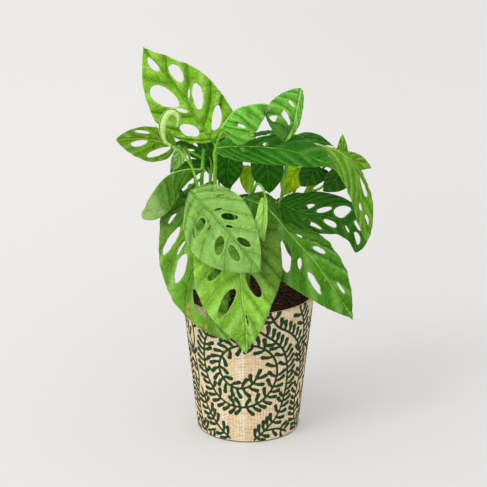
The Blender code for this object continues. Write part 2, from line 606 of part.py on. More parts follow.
def candidate_routes(stem, end_at):
    """Petioles that leave the stem at several heights and turn into the seat, the shortest first."""
    routes = []
    for lift in np.radians(SEAT_LIFTS):
        for swing in np.radians(SEAT_SWINGS):
            end, way = end_at(lift, swing)
            for start in stem[len(stem) // 3:-1]:
                gap = np.linalg.norm(end - start)
                level = (end - start) * (1, 1, 0)
                level = level / max(1, np.linalg.norm(level))
                for rise, spread in LEAVINGS:
                    out = np.array([0, 0, rise]) + spread * level
                    for reach in REACHES:
                        pull = np.clip(reach * gap, *PULLS)
                        path = bezier(start, start + 0.3 * gap * out, end - pull * way, end, ROUTE_STEPS)
                        run = np.linalg.norm(np.diff(path, axis=0), axis=1).sum()
                        routes.append((run + SWING_COST * abs(swing) + LIFT_COST * lift, path))
    return sorted(routes, key=lambda route: route[0])


def route_petioles():
    """Bends each petiole clear of every blade, of the rolled leaf and of the other vines."""
    clouds = {leaf.name: blade_cloud(leaf, 1.6) for leaf in LEAVES}
    others = {name: tree_of(np.vstack([c for n, c in clouds.items() if n != name]))
              for name in clouds}
    everything = tree_of(np.vstack(list(clouds.values())))
    stems = {name: spline([(*points[0], SOIL_TOP - STEM_DEPTH), *points[1:]], STEM_POINTS)
             for name, (points, _) in VINES.items()}
    roll = spline(ROLL_PATH, 20)
    from_blade = PETIOLE_RADIUS[0] + BLADE / 2 + CLEARANCE
    routes = {vine: {} for vine in VINES}
    for vine, (_, carried) in VINES.items():
        rest = [name for name in VINES if name != vine]
        trunks = np.vstack([stems[name] for name in rest])
        crossing = np.vstack([path for name in rest for path in routes[name].values()] + [roll[5:]])

        def fits(path, own, blades):
            taken = any(np.array_equal(path[0], path_of[0]) for path_of in routes[vine].values())
            return (not taken and path[:, 2].min() >= SOIL_TOP + ABOVE_SOIL
                    and clear_of(blades, path[1:], from_blade)
                    and (own is None or clear_of(own, path[:-5], from_blade)
                         and skin_is_clear(own, path))
                    and apart(path, crossing) >= 2 * PETIOLE_RADIUS[0] + CLEARANCE
                    and apart(path, trunks) >= PETIOLE_RADIUS[0] + STEM_RADIUS[0] + CLEARANCE)

        for name in carried:
            if name == ROLLED:
                way = unit(roll[1] - roll[0])
                own, blades = None, everything
                candidates = candidate_routes(stems[vine], lambda *_: (roll[0] - TOUCH * way, way))
            else:
                leaf = BLADES[name]
                own, blades = tree_of(blade_cloud(leaf, 0.5)), others[name]
                candidates = candidate_routes(stems[vine], lambda *aim: seat_of(leaf, own, *aim))
            found = next((path for _, path in candidates if fits(path, own, blades)), None)
            if found is None:
                raise ValueError(f"no clear way from {vine} to {name}")
            routes[vine][name] = found
    return stems, routes, roll


def make_vine(vine, stem, petioles, collection, cutters, material):
    """A main stem with its petioles fused to it, so that the vine is one body.

    The unions use the Manifold solver: Exact leaves loose bodies where petioles meet the stem.
    """
    made = tube(vine, stem, np.linspace(*STEM_RADIUS, len(stem)), collection, sides=2)
    made.data.materials.append(material)
    for name, route in petioles.items():
        path = route[::ROUTE_KEPT]
        radii = np.linspace(*PETIOLE_RADIUS, len(path))
        petiole = as_cutter(tube(name + "_petiole", path, radii, collection), cutters)
        combine(made, petiole, "UNION", solver="MANIFOLD")
    return made


def main():
    clear_scene()
    parts = new_collection(OBJECT)
    cutters = new_collection("cutters")
    straw = make_material("straw weave", (0.72, 0.55, 0.34), 0.8)
    plastic = make_material("black plastic", (0.02, 0.02, 0.02), 0.5)
    earth = make_material("potting soil", (0.03, 0.018, 0.01), 0.95)
    green = make_material("leaf green", (0.10, 0.30, 0.03), 0.35)
    young = make_material("young leaf green", (0.42, 0.68, 0.20), 0.4)
    stalk = make_material("stem green", (0.22, 0.42, 0.08), 0.45)

    make_basket(parts, straw)
    make_nursery_pot(parts, cutters, plastic)
    soil = make_soil(parts, earth)
    stems, routes, roll = route_petioles()
    for vine, stem in stems.items():
        make_vine(vine, stem, routes[vine], parts, cutters, stalk)
        below = stem[:4] - (0, 0, TOUCH)
        hole = tube(vine + "_hole", below, [STEM_RADIUS[0] + TOUCH] * len(below), parts, sides=2)
        combine(soil, as_cutter(hole, cutters), "DIFFERENCE")
    for leaf in LEAVES:
        blade_object(leaf, parts, green)
    places = np.linspace(0, 1, len(roll))
    radii = np.interp(places, np.linspace(0, 1, len(ROLL_RADII)), ROLL_RADII)
    rolled = tube(ROLLED, roll, radii, parts, sides=3)
    rolled.data.materials.append(young)


main()
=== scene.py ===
"""Looks of the potted Swiss-cheese plant: veined leaf blades, stems, soil and a printed straw basket.

Metres, +Z up, in the CAD model's frame. The photographed side faces -Y. Shapes are worked out in
millimetres and turned into metres where a mesh is made.
"""

import json
import math

import bpy
import numpy as np
from mathutils import Matrix, Vector, noise
from mathutils.geometry import delaunay_2d_cdt


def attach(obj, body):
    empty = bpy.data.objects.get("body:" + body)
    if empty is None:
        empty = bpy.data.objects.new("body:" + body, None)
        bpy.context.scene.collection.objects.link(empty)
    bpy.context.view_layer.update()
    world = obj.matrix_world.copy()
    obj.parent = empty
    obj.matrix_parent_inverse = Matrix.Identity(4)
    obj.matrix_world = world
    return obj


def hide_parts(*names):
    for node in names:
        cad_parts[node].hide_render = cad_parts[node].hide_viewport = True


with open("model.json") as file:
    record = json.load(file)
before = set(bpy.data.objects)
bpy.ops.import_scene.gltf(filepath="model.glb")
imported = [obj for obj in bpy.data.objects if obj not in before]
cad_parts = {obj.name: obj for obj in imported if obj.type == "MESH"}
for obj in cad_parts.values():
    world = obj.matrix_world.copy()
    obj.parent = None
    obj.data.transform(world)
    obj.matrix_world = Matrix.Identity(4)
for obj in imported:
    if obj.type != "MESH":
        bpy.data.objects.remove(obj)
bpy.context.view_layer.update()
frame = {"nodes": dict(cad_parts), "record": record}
MM = 0.001
NODES = frame["nodes"]
SLOTS = {part["node"]: part["material_slot"] for part in frame["record"]["subparts"]}

# Basket and soil, in millimetres
BASKET_HEIGHT = 140.0
BASKET_TOP_RADIUS = 65.0
BASKET_BASE_RADIUS = 50.0
BASKET_WALL = 2.6
BASKET_FLOOR = 3.0
SOIL_TOP = 129.5
SOIL_RADIUS = 58.8

# Blades: thickness and mesh spacing in millimetres, how the side veins sweep towards the tip and how
# they crowd at the base, and the share of the margin that the base's lobes take
BLADE = 0.55
CELL = 1.15
VEIN_SWEEP = 1.4
VEIN_CROWD = 2.4
LOBE_REACH = 0.3


def unit(v):
    return v / np.linalg.norm(v, axis=-1, keepdims=True)


def spline(points, count=80):
    """A smooth curve through the points, evenly spaced along its length."""
    p = np.asarray(points, float)
    p = np.vstack([2 * p[0] - p[1], p, 2 * p[-1] - p[-2]])
    x = np.linspace(0, 1, 24, endpoint=False)[:, None]
    curve = []
    for a, b, c, d in zip(p[:-3], p[1:-2], p[2:-1], p[3:]):
        linear = c - a
        square = 2 * a - 5 * b + 4 * c - d
        cube = 3 * b - a - 3 * c + d
        curve.append(b + (linear * x + square * x**2 + cube * x**3) / 2)
    curve = np.vstack(curve + [p[-2][None]])
    run = np.concatenate([[0], np.cumsum(np.linalg.norm(np.diff(curve, axis=0), axis=1))])
    even = np.linspace(0, run[-1], count)
    return np.stack([np.interp(even, run, curve[:, k]) for k in range(3)], axis=1)


def pair(value):
    return value if isinstance(value, tuple) else (value, value)


def half_width(s, swell, taper):
    """Margin half-width along the blade, 1 at its widest row."""
    peak = swell / (swell + taper)
    return s**swell * (1 - s) ** taper / (peak**swell * (1 - peak) ** taper)


class Leaf:
    """A blade on a bent midrib, in vein coordinates.

    s runs from base to tip along the margin, and t from the midrib (0) to the margin (1) along a
    side vein. width, lobe, swell, taper, fold and curl may be pairs: the side of +facing x midrib
    first. A hole is (side, s, t, half-size in s, half-size in t, slant), an ellipse between veins.
    """

    def __init__(self, name, midrib, facing, width=0.33, fold=0.25, curl=-0.2, wave=(1.5, 3, 0),
                 holes=(), lobe=0.14, swell=0.5, taper=0.9):
        self.name = name
        self.path = spline(midrib)
        self.length = np.linalg.norm(np.diff(self.path, axis=0), axis=1).sum()
        self.along = unit(np.gradient(self.path, axis=0))
        ways = np.asarray(facing, float)
        ways = ways[None] if ways.ndim == 1 else ways
        spots = np.linspace(0, 1, len(self.path))
        places = np.linspace(0, 1, len(ways))
        up = np.stack([np.interp(spots, places, ways[:, k]) for k in range(3)], axis=1)
        self.up = unit(up - (up * self.along).sum(1, keepdims=True) * self.along)
        self.shape = [dict(width=w, lobe=lo, swell=sw, taper=ta)
                      for w, lo, sw, ta in zip(pair(width), pair(lobe), pair(swell), pair(taper))]
        self.fold = pair(fold)
        self.curl = pair(curl)
        self.wave = wave
        self.holes = holes

    def flat(self, s, t, side):
        """Place on the flattened blade, as shares of its length."""
        shape = self.shape[0 if side > 0 else 1]
        margin = s - shape["lobe"] * np.sin(np.pi * np.minimum(1, s / LOBE_REACH))
        vein = s**VEIN_CROWD
        reach = shape["width"] * half_width(s, shape["swell"], shape["taper"])
        return vein + (margin - vein) * t**VEIN_SWEEP, t * reach

    def frame(self, u):
        """Midrib point, midrib direction and facing at share u of the length."""
        row = np.clip(u, 0, 1) * (len(self.path) - 1)
        near = np.minimum(row.astype(int), len(self.path) - 2)
        part = (row - near)[..., None]
        mixed = [a[near] * (1 - part) + a[near + 1] * part for a in (self.path, self.along, self.up)]
        beyond = (u - np.clip(u, 0, 1))[..., None] * self.length
        return mixed[0] + beyond * mixed[1], unit(mixed[1]), unit(mixed[2])

    def surface(self, s, t, side):
        """Point on the blade's middle surface, in millimetres."""
        s, t = np.broadcast_arrays(np.asarray(s, float), np.asarray(t, float))
        which = 0 if side > 0 else 1
        u, v = self.flat(s, t, side)
        centre, along, up = self.frame(u)
        across = np.cross(up, along)
        full = self.shape[which]["width"] * self.length
        bend = [np.interp(np.clip(u, 0, 1), np.linspace(0, 1, len(np.atleast_1d(k))), np.atleast_1d(k))
                for k in (self.fold[which], self.curl[which])]
        fold, curl = bend[0], np.where(np.abs(bend[1]) < 1e-3, 1e-3, bend[1])
        turned = fold + curl * v / self.shape[which]["width"]
        x = full / curl * (np.sin(turned) - np.sin(fold))
        z = -full / curl * (np.cos(turned) - np.cos(fold))
        size, count, start = self.wave
        z = z + size * np.sin(2 * np.pi * count * s + start + 1.3 * which) * t**2
        return centre + across * (side * x)[..., None] + up * z[..., None]


def slits(rows, ds=0.035, dt=0.27, t=0.5):
    """Holes between the side veins of a leaf that is seen only in part."""
    return [(side, s + (0.03 if side > 0 else 0), t, ds, dt) for s in rows for side in (1, -1)]


# Points are millimetres from the centre of the basket's base, from each leaf's base to its tip.
LEAVES = [
    Leaf("leaf_top_left",
         [(-34, 0, 292), (-50, 3, 316), (-65, 8, 339), (-85, 14, 363), (-100, 16, 381)],
         [(-0.1, -0.9, 0.3), (-0.3, -0.9, 0.2)],
         width=(0.315, 0.30), swell=(0.78, 0.5), taper=(1.0, 1.1), lobe=(0, 0.14), fold=0.15,
         wave=(1, 3, 0),
         holes=[(1, 0.917, 0.37, 0.037, 0.32), (1, 0.708, 0.55, 0.083, 0.33),
                (1, 0.623, 0.26, 0.017, 0.14), (1, 0.412, 0.35, 0.085, 0.21, -0.12),
                (-1, 0.777, 0.58, 0.058, 0.28, -0.1), (-1, 0.594, 0.47, 0.06, 0.26, -0.02),
                (-1, 0.685, 0.31, 0.01, 0.12), (-1, 0.323, 0.46, 0.066, 0.28)]),
    Leaf("leaf_far_left",
         [(-70, -5, 289), (-90, -8, 296), (-110, -10, 298), (-126, -10, 297)], (-0.1, -0.8, 0.6),
         width=(0.41, 0.22), swell=(0.65, 0.6), taper=(0.85, 0.8), lobe=(0.03, 0.05), wave=(0.6, 2, 0),
         holes=[(-1, 0.69, 0.68, 0.066, 0.17, 0.17), (1, 0.792, 0.33, 0.064, 0.29, 0.09),
                (1, 0.438, 0.46, 0.11, 0.38, 0.24)]),
    Leaf("leaf_top_front",
         [(-27, -42, 317), (-13, -42, 335), (2, -40, 340), (15, -36, 340), (23, -32, 335)],
         [(-0.3, -0.5, 0.8), (0.2, -0.5, 0.8)],
         width=(0.27, 0.48), fold=(-1.2, -0.5), curl=(-0.3, -0.2), lobe=(0, 0.12), swell=(0.7, 0.5),
         wave=(1.0, 2.5, 1), holes=[(-1, 0.45, 0.55, 0.04, 0.25)]),
    Leaf("leaf_top_middle",
         [(50, -8, 347), (46, -20, 331), (42, -32, 316), (34, -38, 303)],
         [(0.1, -0.5, 0.8), (0.1, -0.95, 0.2)],
         width=(0.1, 0.54), fold=(0.1, 0.2), curl=(-0.2, -0.3), lobe=(0, 0.02),
         swell=(0.6, 0.8), taper=(0.8, 0.5), wave=(0.8, 3, 0),
         holes=[(-1, 0.78, 0.72, 0.06, 0.16, 0.1), (-1, 0.755, 0.33, 0.052, 0.18, -0.5),
                (-1, 0.555, 0.26, 0.03, 0.16, -0.5)]),
    Leaf("leaf_middle_long",
         [(-33, -20, 292), (-12, -28, 296), (20, -32, 296), (50, -36, 291), (80, -38, 280)],
         (0, -0.5, 0.8), width=(0.2, 0.145), fold=(0, -0.3), lobe=0.03, swell=0.75, taper=(0.6, 0.9),
         wave=(0.6, 2, 0),
         holes=[(-1, 0.53, 0.20, 0.016, 0.11, -0.19), (1, 0.689, 0.16, 0.014, 0.11, -0.12),
                (1, 0.55, 0.55, 0.03, 0.25)]),
    Leaf("leaf_right_drooping",
         [(41, -10, 297), (68, -14, 293), (91, -16, 284), (104, -16, 262), (109, -15, 234),
          (114, -12, 196)],
         [(0, -0.6, 0.8), (0.5, -0.7, 0.4), (0.6, -0.8, 0.1)],
         width=(0.08, 0.15), fold=([-1.3, -0.9, -0.3, 0.3, 0.3], [-0.2, 0.2, 0.4, 0.4]), lobe=0.04,
         swell=(1.2, 0.5), taper=(0.5, 0.8), wave=(0.8, 3, 0),
         holes=[(1, 0.783, 0.42, 0.036, 0.22), (1, 0.924, 0.42, 0.019, 0.24),
                (-1, 0.865, 0.40, 0.021, 0.16, -0.09), (-1, 0.47, 0.55, 0.02, 0.2)]),
    Leaf("leaf_right_upper", [(89, 10, 273), (100, 12, 270), (110, 14, 266), (119, 14, 262)],
         [(0, -0.8, 0.6), (0.3, -0.9, 0.3)], width=(0.25, 0.32), wave=(0.5, 2, 0)),
    Leaf("leaf_right_small", [(91, 15, 266), (91, 17, 279), (91, 19, 294)], (0, -1, 0.2),
         width=0.2, wave=(0.3, 2, 0)),
    Leaf("leaf_right_dark",
         [(31, 0, 231), (50, 4, 220), (70, 6, 216), (90, 6, 210), (103, 4, 196), (105, 2, 179)],
         [(0, -0.8, 0.6), (0.3, -0.9, 0.3)],
         width=(0.225, 0.19), lobe=0.04, swell=(0.55, 0.45), taper=(0.6, 0.85), wave=(0.8, 3, 0),
         holes=[(1, 0.544, 0.27, 0.044, 0.17, 0.09), (1, 0.682, 0.29, 0.033, 0.19, 0.03),
                (1, 0.757, 0.47, 0.035, 0.33, -0.13), (1, 0.934, 0.27, 0.029, 0.24),
                (1, 0.857, 0.61, 0.03, 0.15, -0.07), (-1, 0.514, 0.6, 0.042, 0.21, 0.09),
                (-1, 0.716, 0.46, 0.049, 0.24, -0.08), (-1, 0.865, 0.27, 0.017, 0.22)]),
    Leaf("leaf_front_right",
         [(-3, -17, 241), (19, -32, 235), (40, -44, 213), (64, -48, 186), (84, -46, 155),
          (101, -42, 127)],
         [(0.2, -0.4, 0.9), (0.3, -0.8, 0.5), (0.3, -0.9, 0.3)],
         width=(0.195, 0.24), swell=(0.72, 0.5), taper=(1.0, 0.95), lobe=0.05,
         fold=([0.25, -0.9, -0.35, 0, 0.3], [-0.3, -0.3, -0.15, 0.1, 0.25]), wave=(0.8, 4, 0),
         holes=[(-1, 0.606, 0.53, 0.038, 0.28, -0.1), (-1, 0.702, 0.45, 0.011, 0.13, -0.08),
                (-1, 0.779, 0.62, 0.034, 0.16, 0.08), (1, 0.878, 0.55, 0.021, 0.11, 0.03),
                (1, 0.62, 0.43, 0.02, 0.17), (1, 0.7, 0.56, 0.016, 0.14, -0.05)]),
    Leaf("leaf_front_pale", [(-55, -35, 254), (-30, -58, 234), (-8, -76, 213), (11, -86, 191)],
         [(0, -0.6, 0.8), (0, -0.9, 0.3)],
         width=(0.29, 0.38), lobe=0, swell=(0.55, 0.95), wave=(0.8, 3, 0),
         holes=[(1, 0.65, 0.41, 0.035, 0.23, -0.055), (1, 0.58, 0.26, 0.01, 0.13, -0.11),
                (1, 0.393, 0.56, 0.015, 0.12, -0.13), (1, 0.739, 0.19, 0.012, 0.12),
                (1, 0.843, 0.36, 0.029, 0.29), (-1, 0.853, 0.43, 0.038, 0.21, 0.05),
                (-1, 0.753, 0.5, 0.033, 0.24, -0.03), (-1, 0.545, 0.51, 0.043, 0.26, -0.15),
                (-1, 0.646, 0.37, 0.01, 0.13, -0.08)]),
    Leaf("leaf_front_middle",
         [(-10, -53, 221), (-9, -61, 211), (-8, -69, 193), (-6, -74, 162), (-2, -76, 131),
          (-2, -74, 103)],
         [(0, -0.6, 0.8), (0, -1, 0.2)],
         width=(0.325, 0.36), taper=(1.25, 1.05), wave=(0.8, 3, 0),
         holes=[(-1, 0.7, 0.55, 0.041, 0.34, -0.04), (1, 0.634, 0.45, 0.05, 0.27),
                (1, 0.862, 0.2, 0.02, 0.14, 0.06), (-1, 0.48, 0.6, 0.034, 0.17, -0.12)]),
    Leaf("leaf_front_left",
         [(-55, -20, 243), (-51, -38, 216), (-49, -52, 188), (-42, -61, 158), (-30, -65, 132),
          (-17, -67, 114)],
         [(-0.3, -0.8, 0.6), (-0.3, -0.9, 0.2)], width=(0.2, 0.262), swell=(1.1, 0.56),
         taper=(1.2, 0.9), lobe=(0, 0.14), fold=([-0.2, -0.1, 0.1, 0.3], 0), wave=(0.8, 3, 0),
         holes=[(-1, 0.257, 0.59, 0.013, 0.14), (-1, 0.407, 0.63, 0.054, 0.26, -0.04),
                (-1, 0.549, 0.42, 0.016, 0.13, 0.02), (-1, 0.632, 0.52, 0.041, 0.25, -0.04),
                (-1, 0.829, 0.44, 0.053, 0.17, 0.09), (1, 0.5, 0.5, 0.03, 0.25)]),
    Leaf("leaf_left_olive",
         [(-42, -10, 268), (-61, -18, 270), (-78, -24, 265), (-90, -32, 253), (-97, -34, 240),
          (-101, -34, 226)],
         [(-0.1, -0.5, 0.8), (-0.8, -0.6, 0.3)],
         width=(0.27, 0.2), fold=(-0.6, [-1.4, -1.4, -1.2, -0.4]), swell=(0.9, 0.8), taper=(0.45, 0.5),
         lobe=0, wave=(0.5, 2, 0)),
    Leaf("leaf_left_dark", [(-63, 0, 242), (-78, -4, 232), (-91, -4, 220)], (-0.2, -0.8, 0.5),
         width=0.32, wave=(0.4, 2, 0), holes=slits((0.4, 0.65), 0.05, 0.25)),
    Leaf("leaf_front_young", [(16, -60, 254), (15, -64, 238), (14, -67, 224), (15, -68, 214)],
         (0, -1, 0.2), width=0.2, swell=0.9, fold=(1.3, 0.1), wave=(0.2, 2, 0)),
    Leaf("leaf_lime_large", [(50, 25, 258), (42, 25, 246), (34, 25, 230)], (0, -0.9, 0.4),
         width=0.35, wave=(0.4, 2, 0)),
    Leaf("leaf_lime_small", [(0, 20, 262), (-1, 20, 250), (-1, 20, 234)], (0, -0.9, 0.4),
         width=0.27, wave=(0.2, 2, 0)),
    Leaf("leaf_under_left", [(68, 10, 265), (60, 14, 254), (52, 16, 242)], (0, -0.8, -0.5),
         width=0.5, wave=(0.4, 2, 0)),
    Leaf("leaf_under_right", [(91, 3, 262), (83, 7, 251), (73, 9, 239)], (0, -0.8, -0.5),
         width=(0.5, 0.42), wave=(0.4, 2, 0)),
    Leaf("leaf_inner", [(16, 6, 276), (19, 8, 258), (21, 8, 238)], (0, -0.9, 0.3), width=0.42,
         wave=(0.5, 2, 0)),
    Leaf("leaf_inner_left", [(-18, 10, 276), (-20, 12, 260), (-20, 12, 241)], (0, -0.9, 0.3),
         width=0.42, wave=(0.5, 2, 0)),
    Leaf("leaf_inner_low", [(-20, -16, 236), (-21, -23, 212), (-26, -29, 188), (-32, -32, 160)],
         (0, -0.9, 0.3), width=0.18, wave=(0.5, 2, 0)),
    Leaf("leaf_inner_tall", [(-34, 26, 292), (-36, 28, 272), (-37, 28, 250)], (0, -0.9, 0.3),
         width=0.33, wave=(0.5, 2, 0)),
    Leaf("leaf_behind_long", [(40, 14, 285), (58, 15, 291), (82, 15, 284)], (0, -0.5, 0.85),
         width=(0.17, 0.15), wave=(0.5, 2, 0)),
    Leaf("leaf_left_crumpled", [(-62, -8, 289), (-67, -12, 278), (-74, -12, 265)], (-0.3, -0.9, 0.2),
         width=0.24, wave=(1.2, 3, 1)),
    Leaf("leaf_inner_dark", [(-38, 14, 274), (-54, 16, 282), (-72, 18, 285)], (0, -0.8, 0.5),
         width=0.27, wave=(0.6, 2, 0), holes=slits((0.4, 0.65), 0.05, 0.25)),
    Leaf("leaf_inner_band", [(-40, 14, 265), (-56, 12, 265), (-72, 10, 259)], (0, -0.5, 0.9),
         width=0.2, wave=(0.4, 2, 0)),
    Leaf("leaf_back_middle", [(-10, 34, 226), (-13, 54, 210), (-16, 68, 178), (-16, 74, 146)],
         [(0, 0.6, 0.8), (0, 0.9, 0.3)], width=0.25, lobe=0.1, holes=slits((0.3, 0.5, 0.66, 0.8))),
    Leaf("leaf_back_right", [(28, 30, 224), (36, 46, 212), (44, 60, 184), (46, 68, 148)],
         [(0.2, 0.6, 0.8), (0.2, 0.9, 0.3)], width=0.24, lobe=0.1, holes=slits((0.3, 0.5, 0.66, 0.8))),
    Leaf("leaf_back_top", [(-7, 24, 272), (-9, 48, 284), (-11, 74, 280)], (0, 0, 1),
         width=0.3, wave=(0.6, 3, 0), holes=slits((0.4, 0.65), 0.05, 0.25)),
    Leaf("leaf_back_left", [(-45, 24, 240), (-49, 36, 222), (-50, 48, 192), (-46, 52, 162)],
         [(-0.3, 0.6, 0.8), (-0.2, 0.9, 0.3)], width=0.2, wave=(1, 3, 0),
         holes=slits((0.35, 0.55, 0.75))),
    Leaf("leaf_back_far", [(58, 22, 268), (72, 42, 262), (84, 68, 244)], (0.2, 0.2, 0.9),
         width=0.3, wave=(0.6, 3, 0), holes=slits((0.4, 0.65), 0.05, 0.25)),
]
# The young leaf that is still rolled up: its axis and its radius at each point
ROLLED = "leaf_rolled"
ROLL_PATH = [(-73, -29, 297), (-79, -30, 302), (-81, -30, 315), (-77, -30, 327), (-71, -30, 330),
             (-66, -30, 325), (-67, -30, 316)]
ROLL_RADII = (1.4, 2.2, 4.0, 4.3, 4.0, 2.8, 0.8)

# How each blade looks: its finish, and how far it swells between its side veins, in millimetres
BLADE_FINISH = {
    "leaf_top_left": ("ribbed", 2.2), "leaf_far_left": ("yellow", 0.9),
    "leaf_top_front": ("fresh", 1.9), "leaf_top_middle": ("fresh", 1.4),
    "leaf_middle_long": ("deep", 1.3), "leaf_right_drooping": ("streaked", 1.0),
    "leaf_right_upper": ("streaked", 0.8), "leaf_right_small": ("streaked", 0.5),
    "leaf_right_dark": ("dark", 1.1), "leaf_front_right": ("middle", 2.0),
    "leaf_front_pale": ("pale", 1.8), "leaf_front_middle": ("light", 2.0),
    "leaf_front_left": ("worn", 1.6), "leaf_left_olive": ("olive", 0.8),
    "leaf_left_dark": ("dark", 0.6), "leaf_front_young": ("light", 0.3),
    "leaf_lime_large": ("lime", 0.5), "leaf_lime_small": ("lime", 0.3),
    "leaf_under_left": ("dark", 0.8), "leaf_under_right": ("dark", 0.8),
    "leaf_inner": ("inner", 0.6), "leaf_inner_left": ("inner", 0.7),
    "leaf_inner_low": ("inner", 0.7), "leaf_inner_tall": ("inner", 0.7),
    "leaf_behind_long": ("dark", 0.6), "leaf_left_crumpled": ("pale", 1.2),
    "leaf_inner_dark": ("inner", 0.9), "leaf_inner_band": ("inner", 0.5),
    "leaf_back_middle": ("middle", 1.2), "leaf_back_right": ("deep", 1.2),
    "leaf_back_top": ("light", 0.9), "leaf_back_left": ("deep", 1.1),
    "leaf_back_far": ("middle", 0.9),
}
# Each finish: the upper side, its veins, the underside, and how strongly the relief and its painted
# highlights and shade show
FINISHES = {
    "ribbed": ("#84C41E", "#5CA01C", "#86B840", 1.15), "yellow": ("#5E9204", "#8CB830", "#98BC38", 0.5),
    "fresh": ("#62B826", "#A4DC64", "#7CBC40", 1.2), "deep": ("#2A7C00", "#5CA01C", "#5C9C28", 0.4),
    "streaked": ("#66A802", "#92C438", "#7CB040", 0.8), "middle": ("#4C9604", "#84C040", "#6CA838", 1.0),
    "worn": ("#6CAC20", "#9CCC58", "#8CB850", 1.1), "dark": ("#2A7200", "#4E8C28", "#3E7A24", 0.3),
    "inner": ("#267600", "#4E9C20", "#4C8C20", 0.25), "light": ("#8ECC38", "#ACE068", "#8CC84C", 0.9),
    "pale": ("#88BC54", "#5E9E38", "#9CCC60", 0.5), "olive": ("#427C08", "#94B444", "#5C8A24", 0.5),
    # lime: its near-white yellow-green is painted light, standing for light shining through thin leaves
    # deep in the crown
    "lime": ("#D0FC00", "#C4F03C", "#A8D828", 0.4),
}
# Painted shade and light on a blade: above 0 it darkens, painted shade as where other leaves shadow it,
# and below 0 it pales, partly painted light and partly a paler tone. Each holds the half, or 0 for both,
# the s where that starts and ends, and how far it goes at each
BLADE_PAINTED_SHADE_AND_LIGHT = {
    "leaf_front_middle": (1, 0.45, 0.68, 0.9, 0.0), "leaf_left_olive": (0, 0.74, 0.92, 0.2, -1.0),
    "leaf_front_right": (0, 0.4, 0.8, 0.5, 0.1), "leaf_front_left": (0, 0.25, 0.65, 0.5, 0.0),
    "leaf_middle_long": (0, 0.08, 0.35, -0.45, 0.0), "leaf_top_middle": (-1, 0.72, 0.9, 0.15, 0.8),
    "leaf_top_front": (0, 0.1, 0.5, 0.25, 0.0), "leaf_left_crumpled": (0, 0.0, 0.5, 0.7, 0.0),
    "leaf_front_young": (0, 0.0, 1.0, -0.6, -0.6),
}
NO_PAINTED_SHADE_AND_LIGHT = (0, 0, 1, 0, 0)
# How dry the spots near a worn blade's tip are
SCORCH = 0.55
# Patterns on the leaves, in cells a metre
NET_SCALE = 330.0
CLOUD_SCALE = 34.0
BLOTCH_SCALE = 105.0
GRAIN_SCALE = 300.0
DRY_SCALE = 90.0


def colour(text):
    """Linear colour of a #RRGGBB name."""
    shares = [int(text[k:k + 2], 16) / 255 for k in (1, 3, 5)]
    return (*(v / 12.92 if v <= 0.04045 else ((v + 0.055) / 1.055) ** 2.4 for v in shares), 1)


def scaled(tint, share):
    return (*(share * v for v in tint[:3]), 1)


class Value:
    """One shader socket. Arithmetic on it adds Math nodes."""

    def __init__(self, finish, socket):
        self.finish = finish
        self.socket = socket

    def maths(self, operation, *values):
        return self.finish.node("ShaderNodeMath", {"operation": operation}, dict(enumerate(values)))

    def __add__(self, other):
        return self.maths("ADD", self, other)

    __radd__ = __add__

    def __sub__(self, other):
        return self.maths("SUBTRACT", self, other)

    def __rsub__(self, other):
        return self.maths("SUBTRACT", other, self)

    def __mul__(self, other):
        return self.maths("MULTIPLY", self, other)

    __rmul__ = __mul__

    def __abs__(self):
        return self.maths("ABSOLUTE", self)

    def whole(self):
        return self.maths("FLOOR", self)

    def waves(self):
        """Distance to the nearest whole number, 0 to 0.5."""
        return self.maths("PINGPONG", self, 0.5)

    def step(self, low, high):
        """A smooth step from 0 at low to 1 at high."""
        return self.finish.node("ShaderNodeMapRange", {"interpolation_type": "SMOOTHSTEP"},
                                {"Value": self, "From Min": low, "From Max": high})


class Finish:
    """A material, with short names for the nodes that it uses."""

    def __init__(self, name, **settings):
        self.made = bpy.data.materials.new(name)
        self.made.use_nodes = True
        self.tree = self.made.node_tree
        self.shader = self.tree.nodes["Principled BSDF"]
        for socket, value in settings.items():
            self.shader.inputs[socket.replace("_", " ")].default_value = value

    def node(self, kind, settings=None, values=None, output=0):
        """Adds a node: its settings first, then its sockets' values or links."""
        added = self.tree.nodes.new(kind)
        for key, value in (settings or {}).items():
            if key == "stops":
                for place, tint in value[1:-1]:
                    added.color_ramp.elements.new(place)
                for element, (place, tint) in zip(added.color_ramp.elements, value):
                    element.position, element.color = place, tint
            else:
                setattr(added, key, value)
        for key, value in (values or {}).items():
            if isinstance(value, Value):
                self.tree.links.new(value.socket, added.inputs[key])
            else:
                added.inputs[key].default_value = value
        return Value(self, added.outputs[output])

    def place(self):
        return self.node("ShaderNodeTexCoord", output="Object")

    def uv(self, layer):
        return self.parts(self.node("ShaderNodeUVMap", {"uv_map": layer}))

    def attribute(self, name):
        """A number that the mesh holds at each point."""
        return self.node("ShaderNodeAttribute", {"attribute_name": name}, output=2)

    def parts(self, vector):
        split = self.node("ShaderNodeSeparateXYZ", values={0: vector})
        outputs = split.socket.node.outputs
        return [Value(self, outputs[k]) for k in range(3)]

    def vector(self, *values):
        return self.node("ShaderNodeCombineXYZ", values=dict(enumerate(values)))

    def stretched(self, vector, scale):
        return self.node("ShaderNodeMapping", values={"Vector": vector, "Scale": scale})

    def noise(self, vector, scale, detail, distortion=0.0):
        return self.node("ShaderNodeTexNoise",
                         values={"Vector": vector, "Scale": scale, "Detail": detail,
                                 "Distortion": distortion})

    def ramp(self, value, stops):
        return self.node("ShaderNodeValToRGB", {"stops": stops}, {0: value})

    def mix(self, factor, first, second):
        return self.node("ShaderNodeMix", {"data_type": "RGBA"}, {0: factor, 6: first, 7: second},
                         output=2)

    def bumps(self, height, distance, strength):
        bump = self.node("ShaderNodeBump", values={"Height": height, "Distance": distance,
                                                   "Strength": strength})
        self.feed("Normal", bump)

    def feed(self, socket, value):
        self.tree.links.new(value.socket, self.shader.inputs[socket])


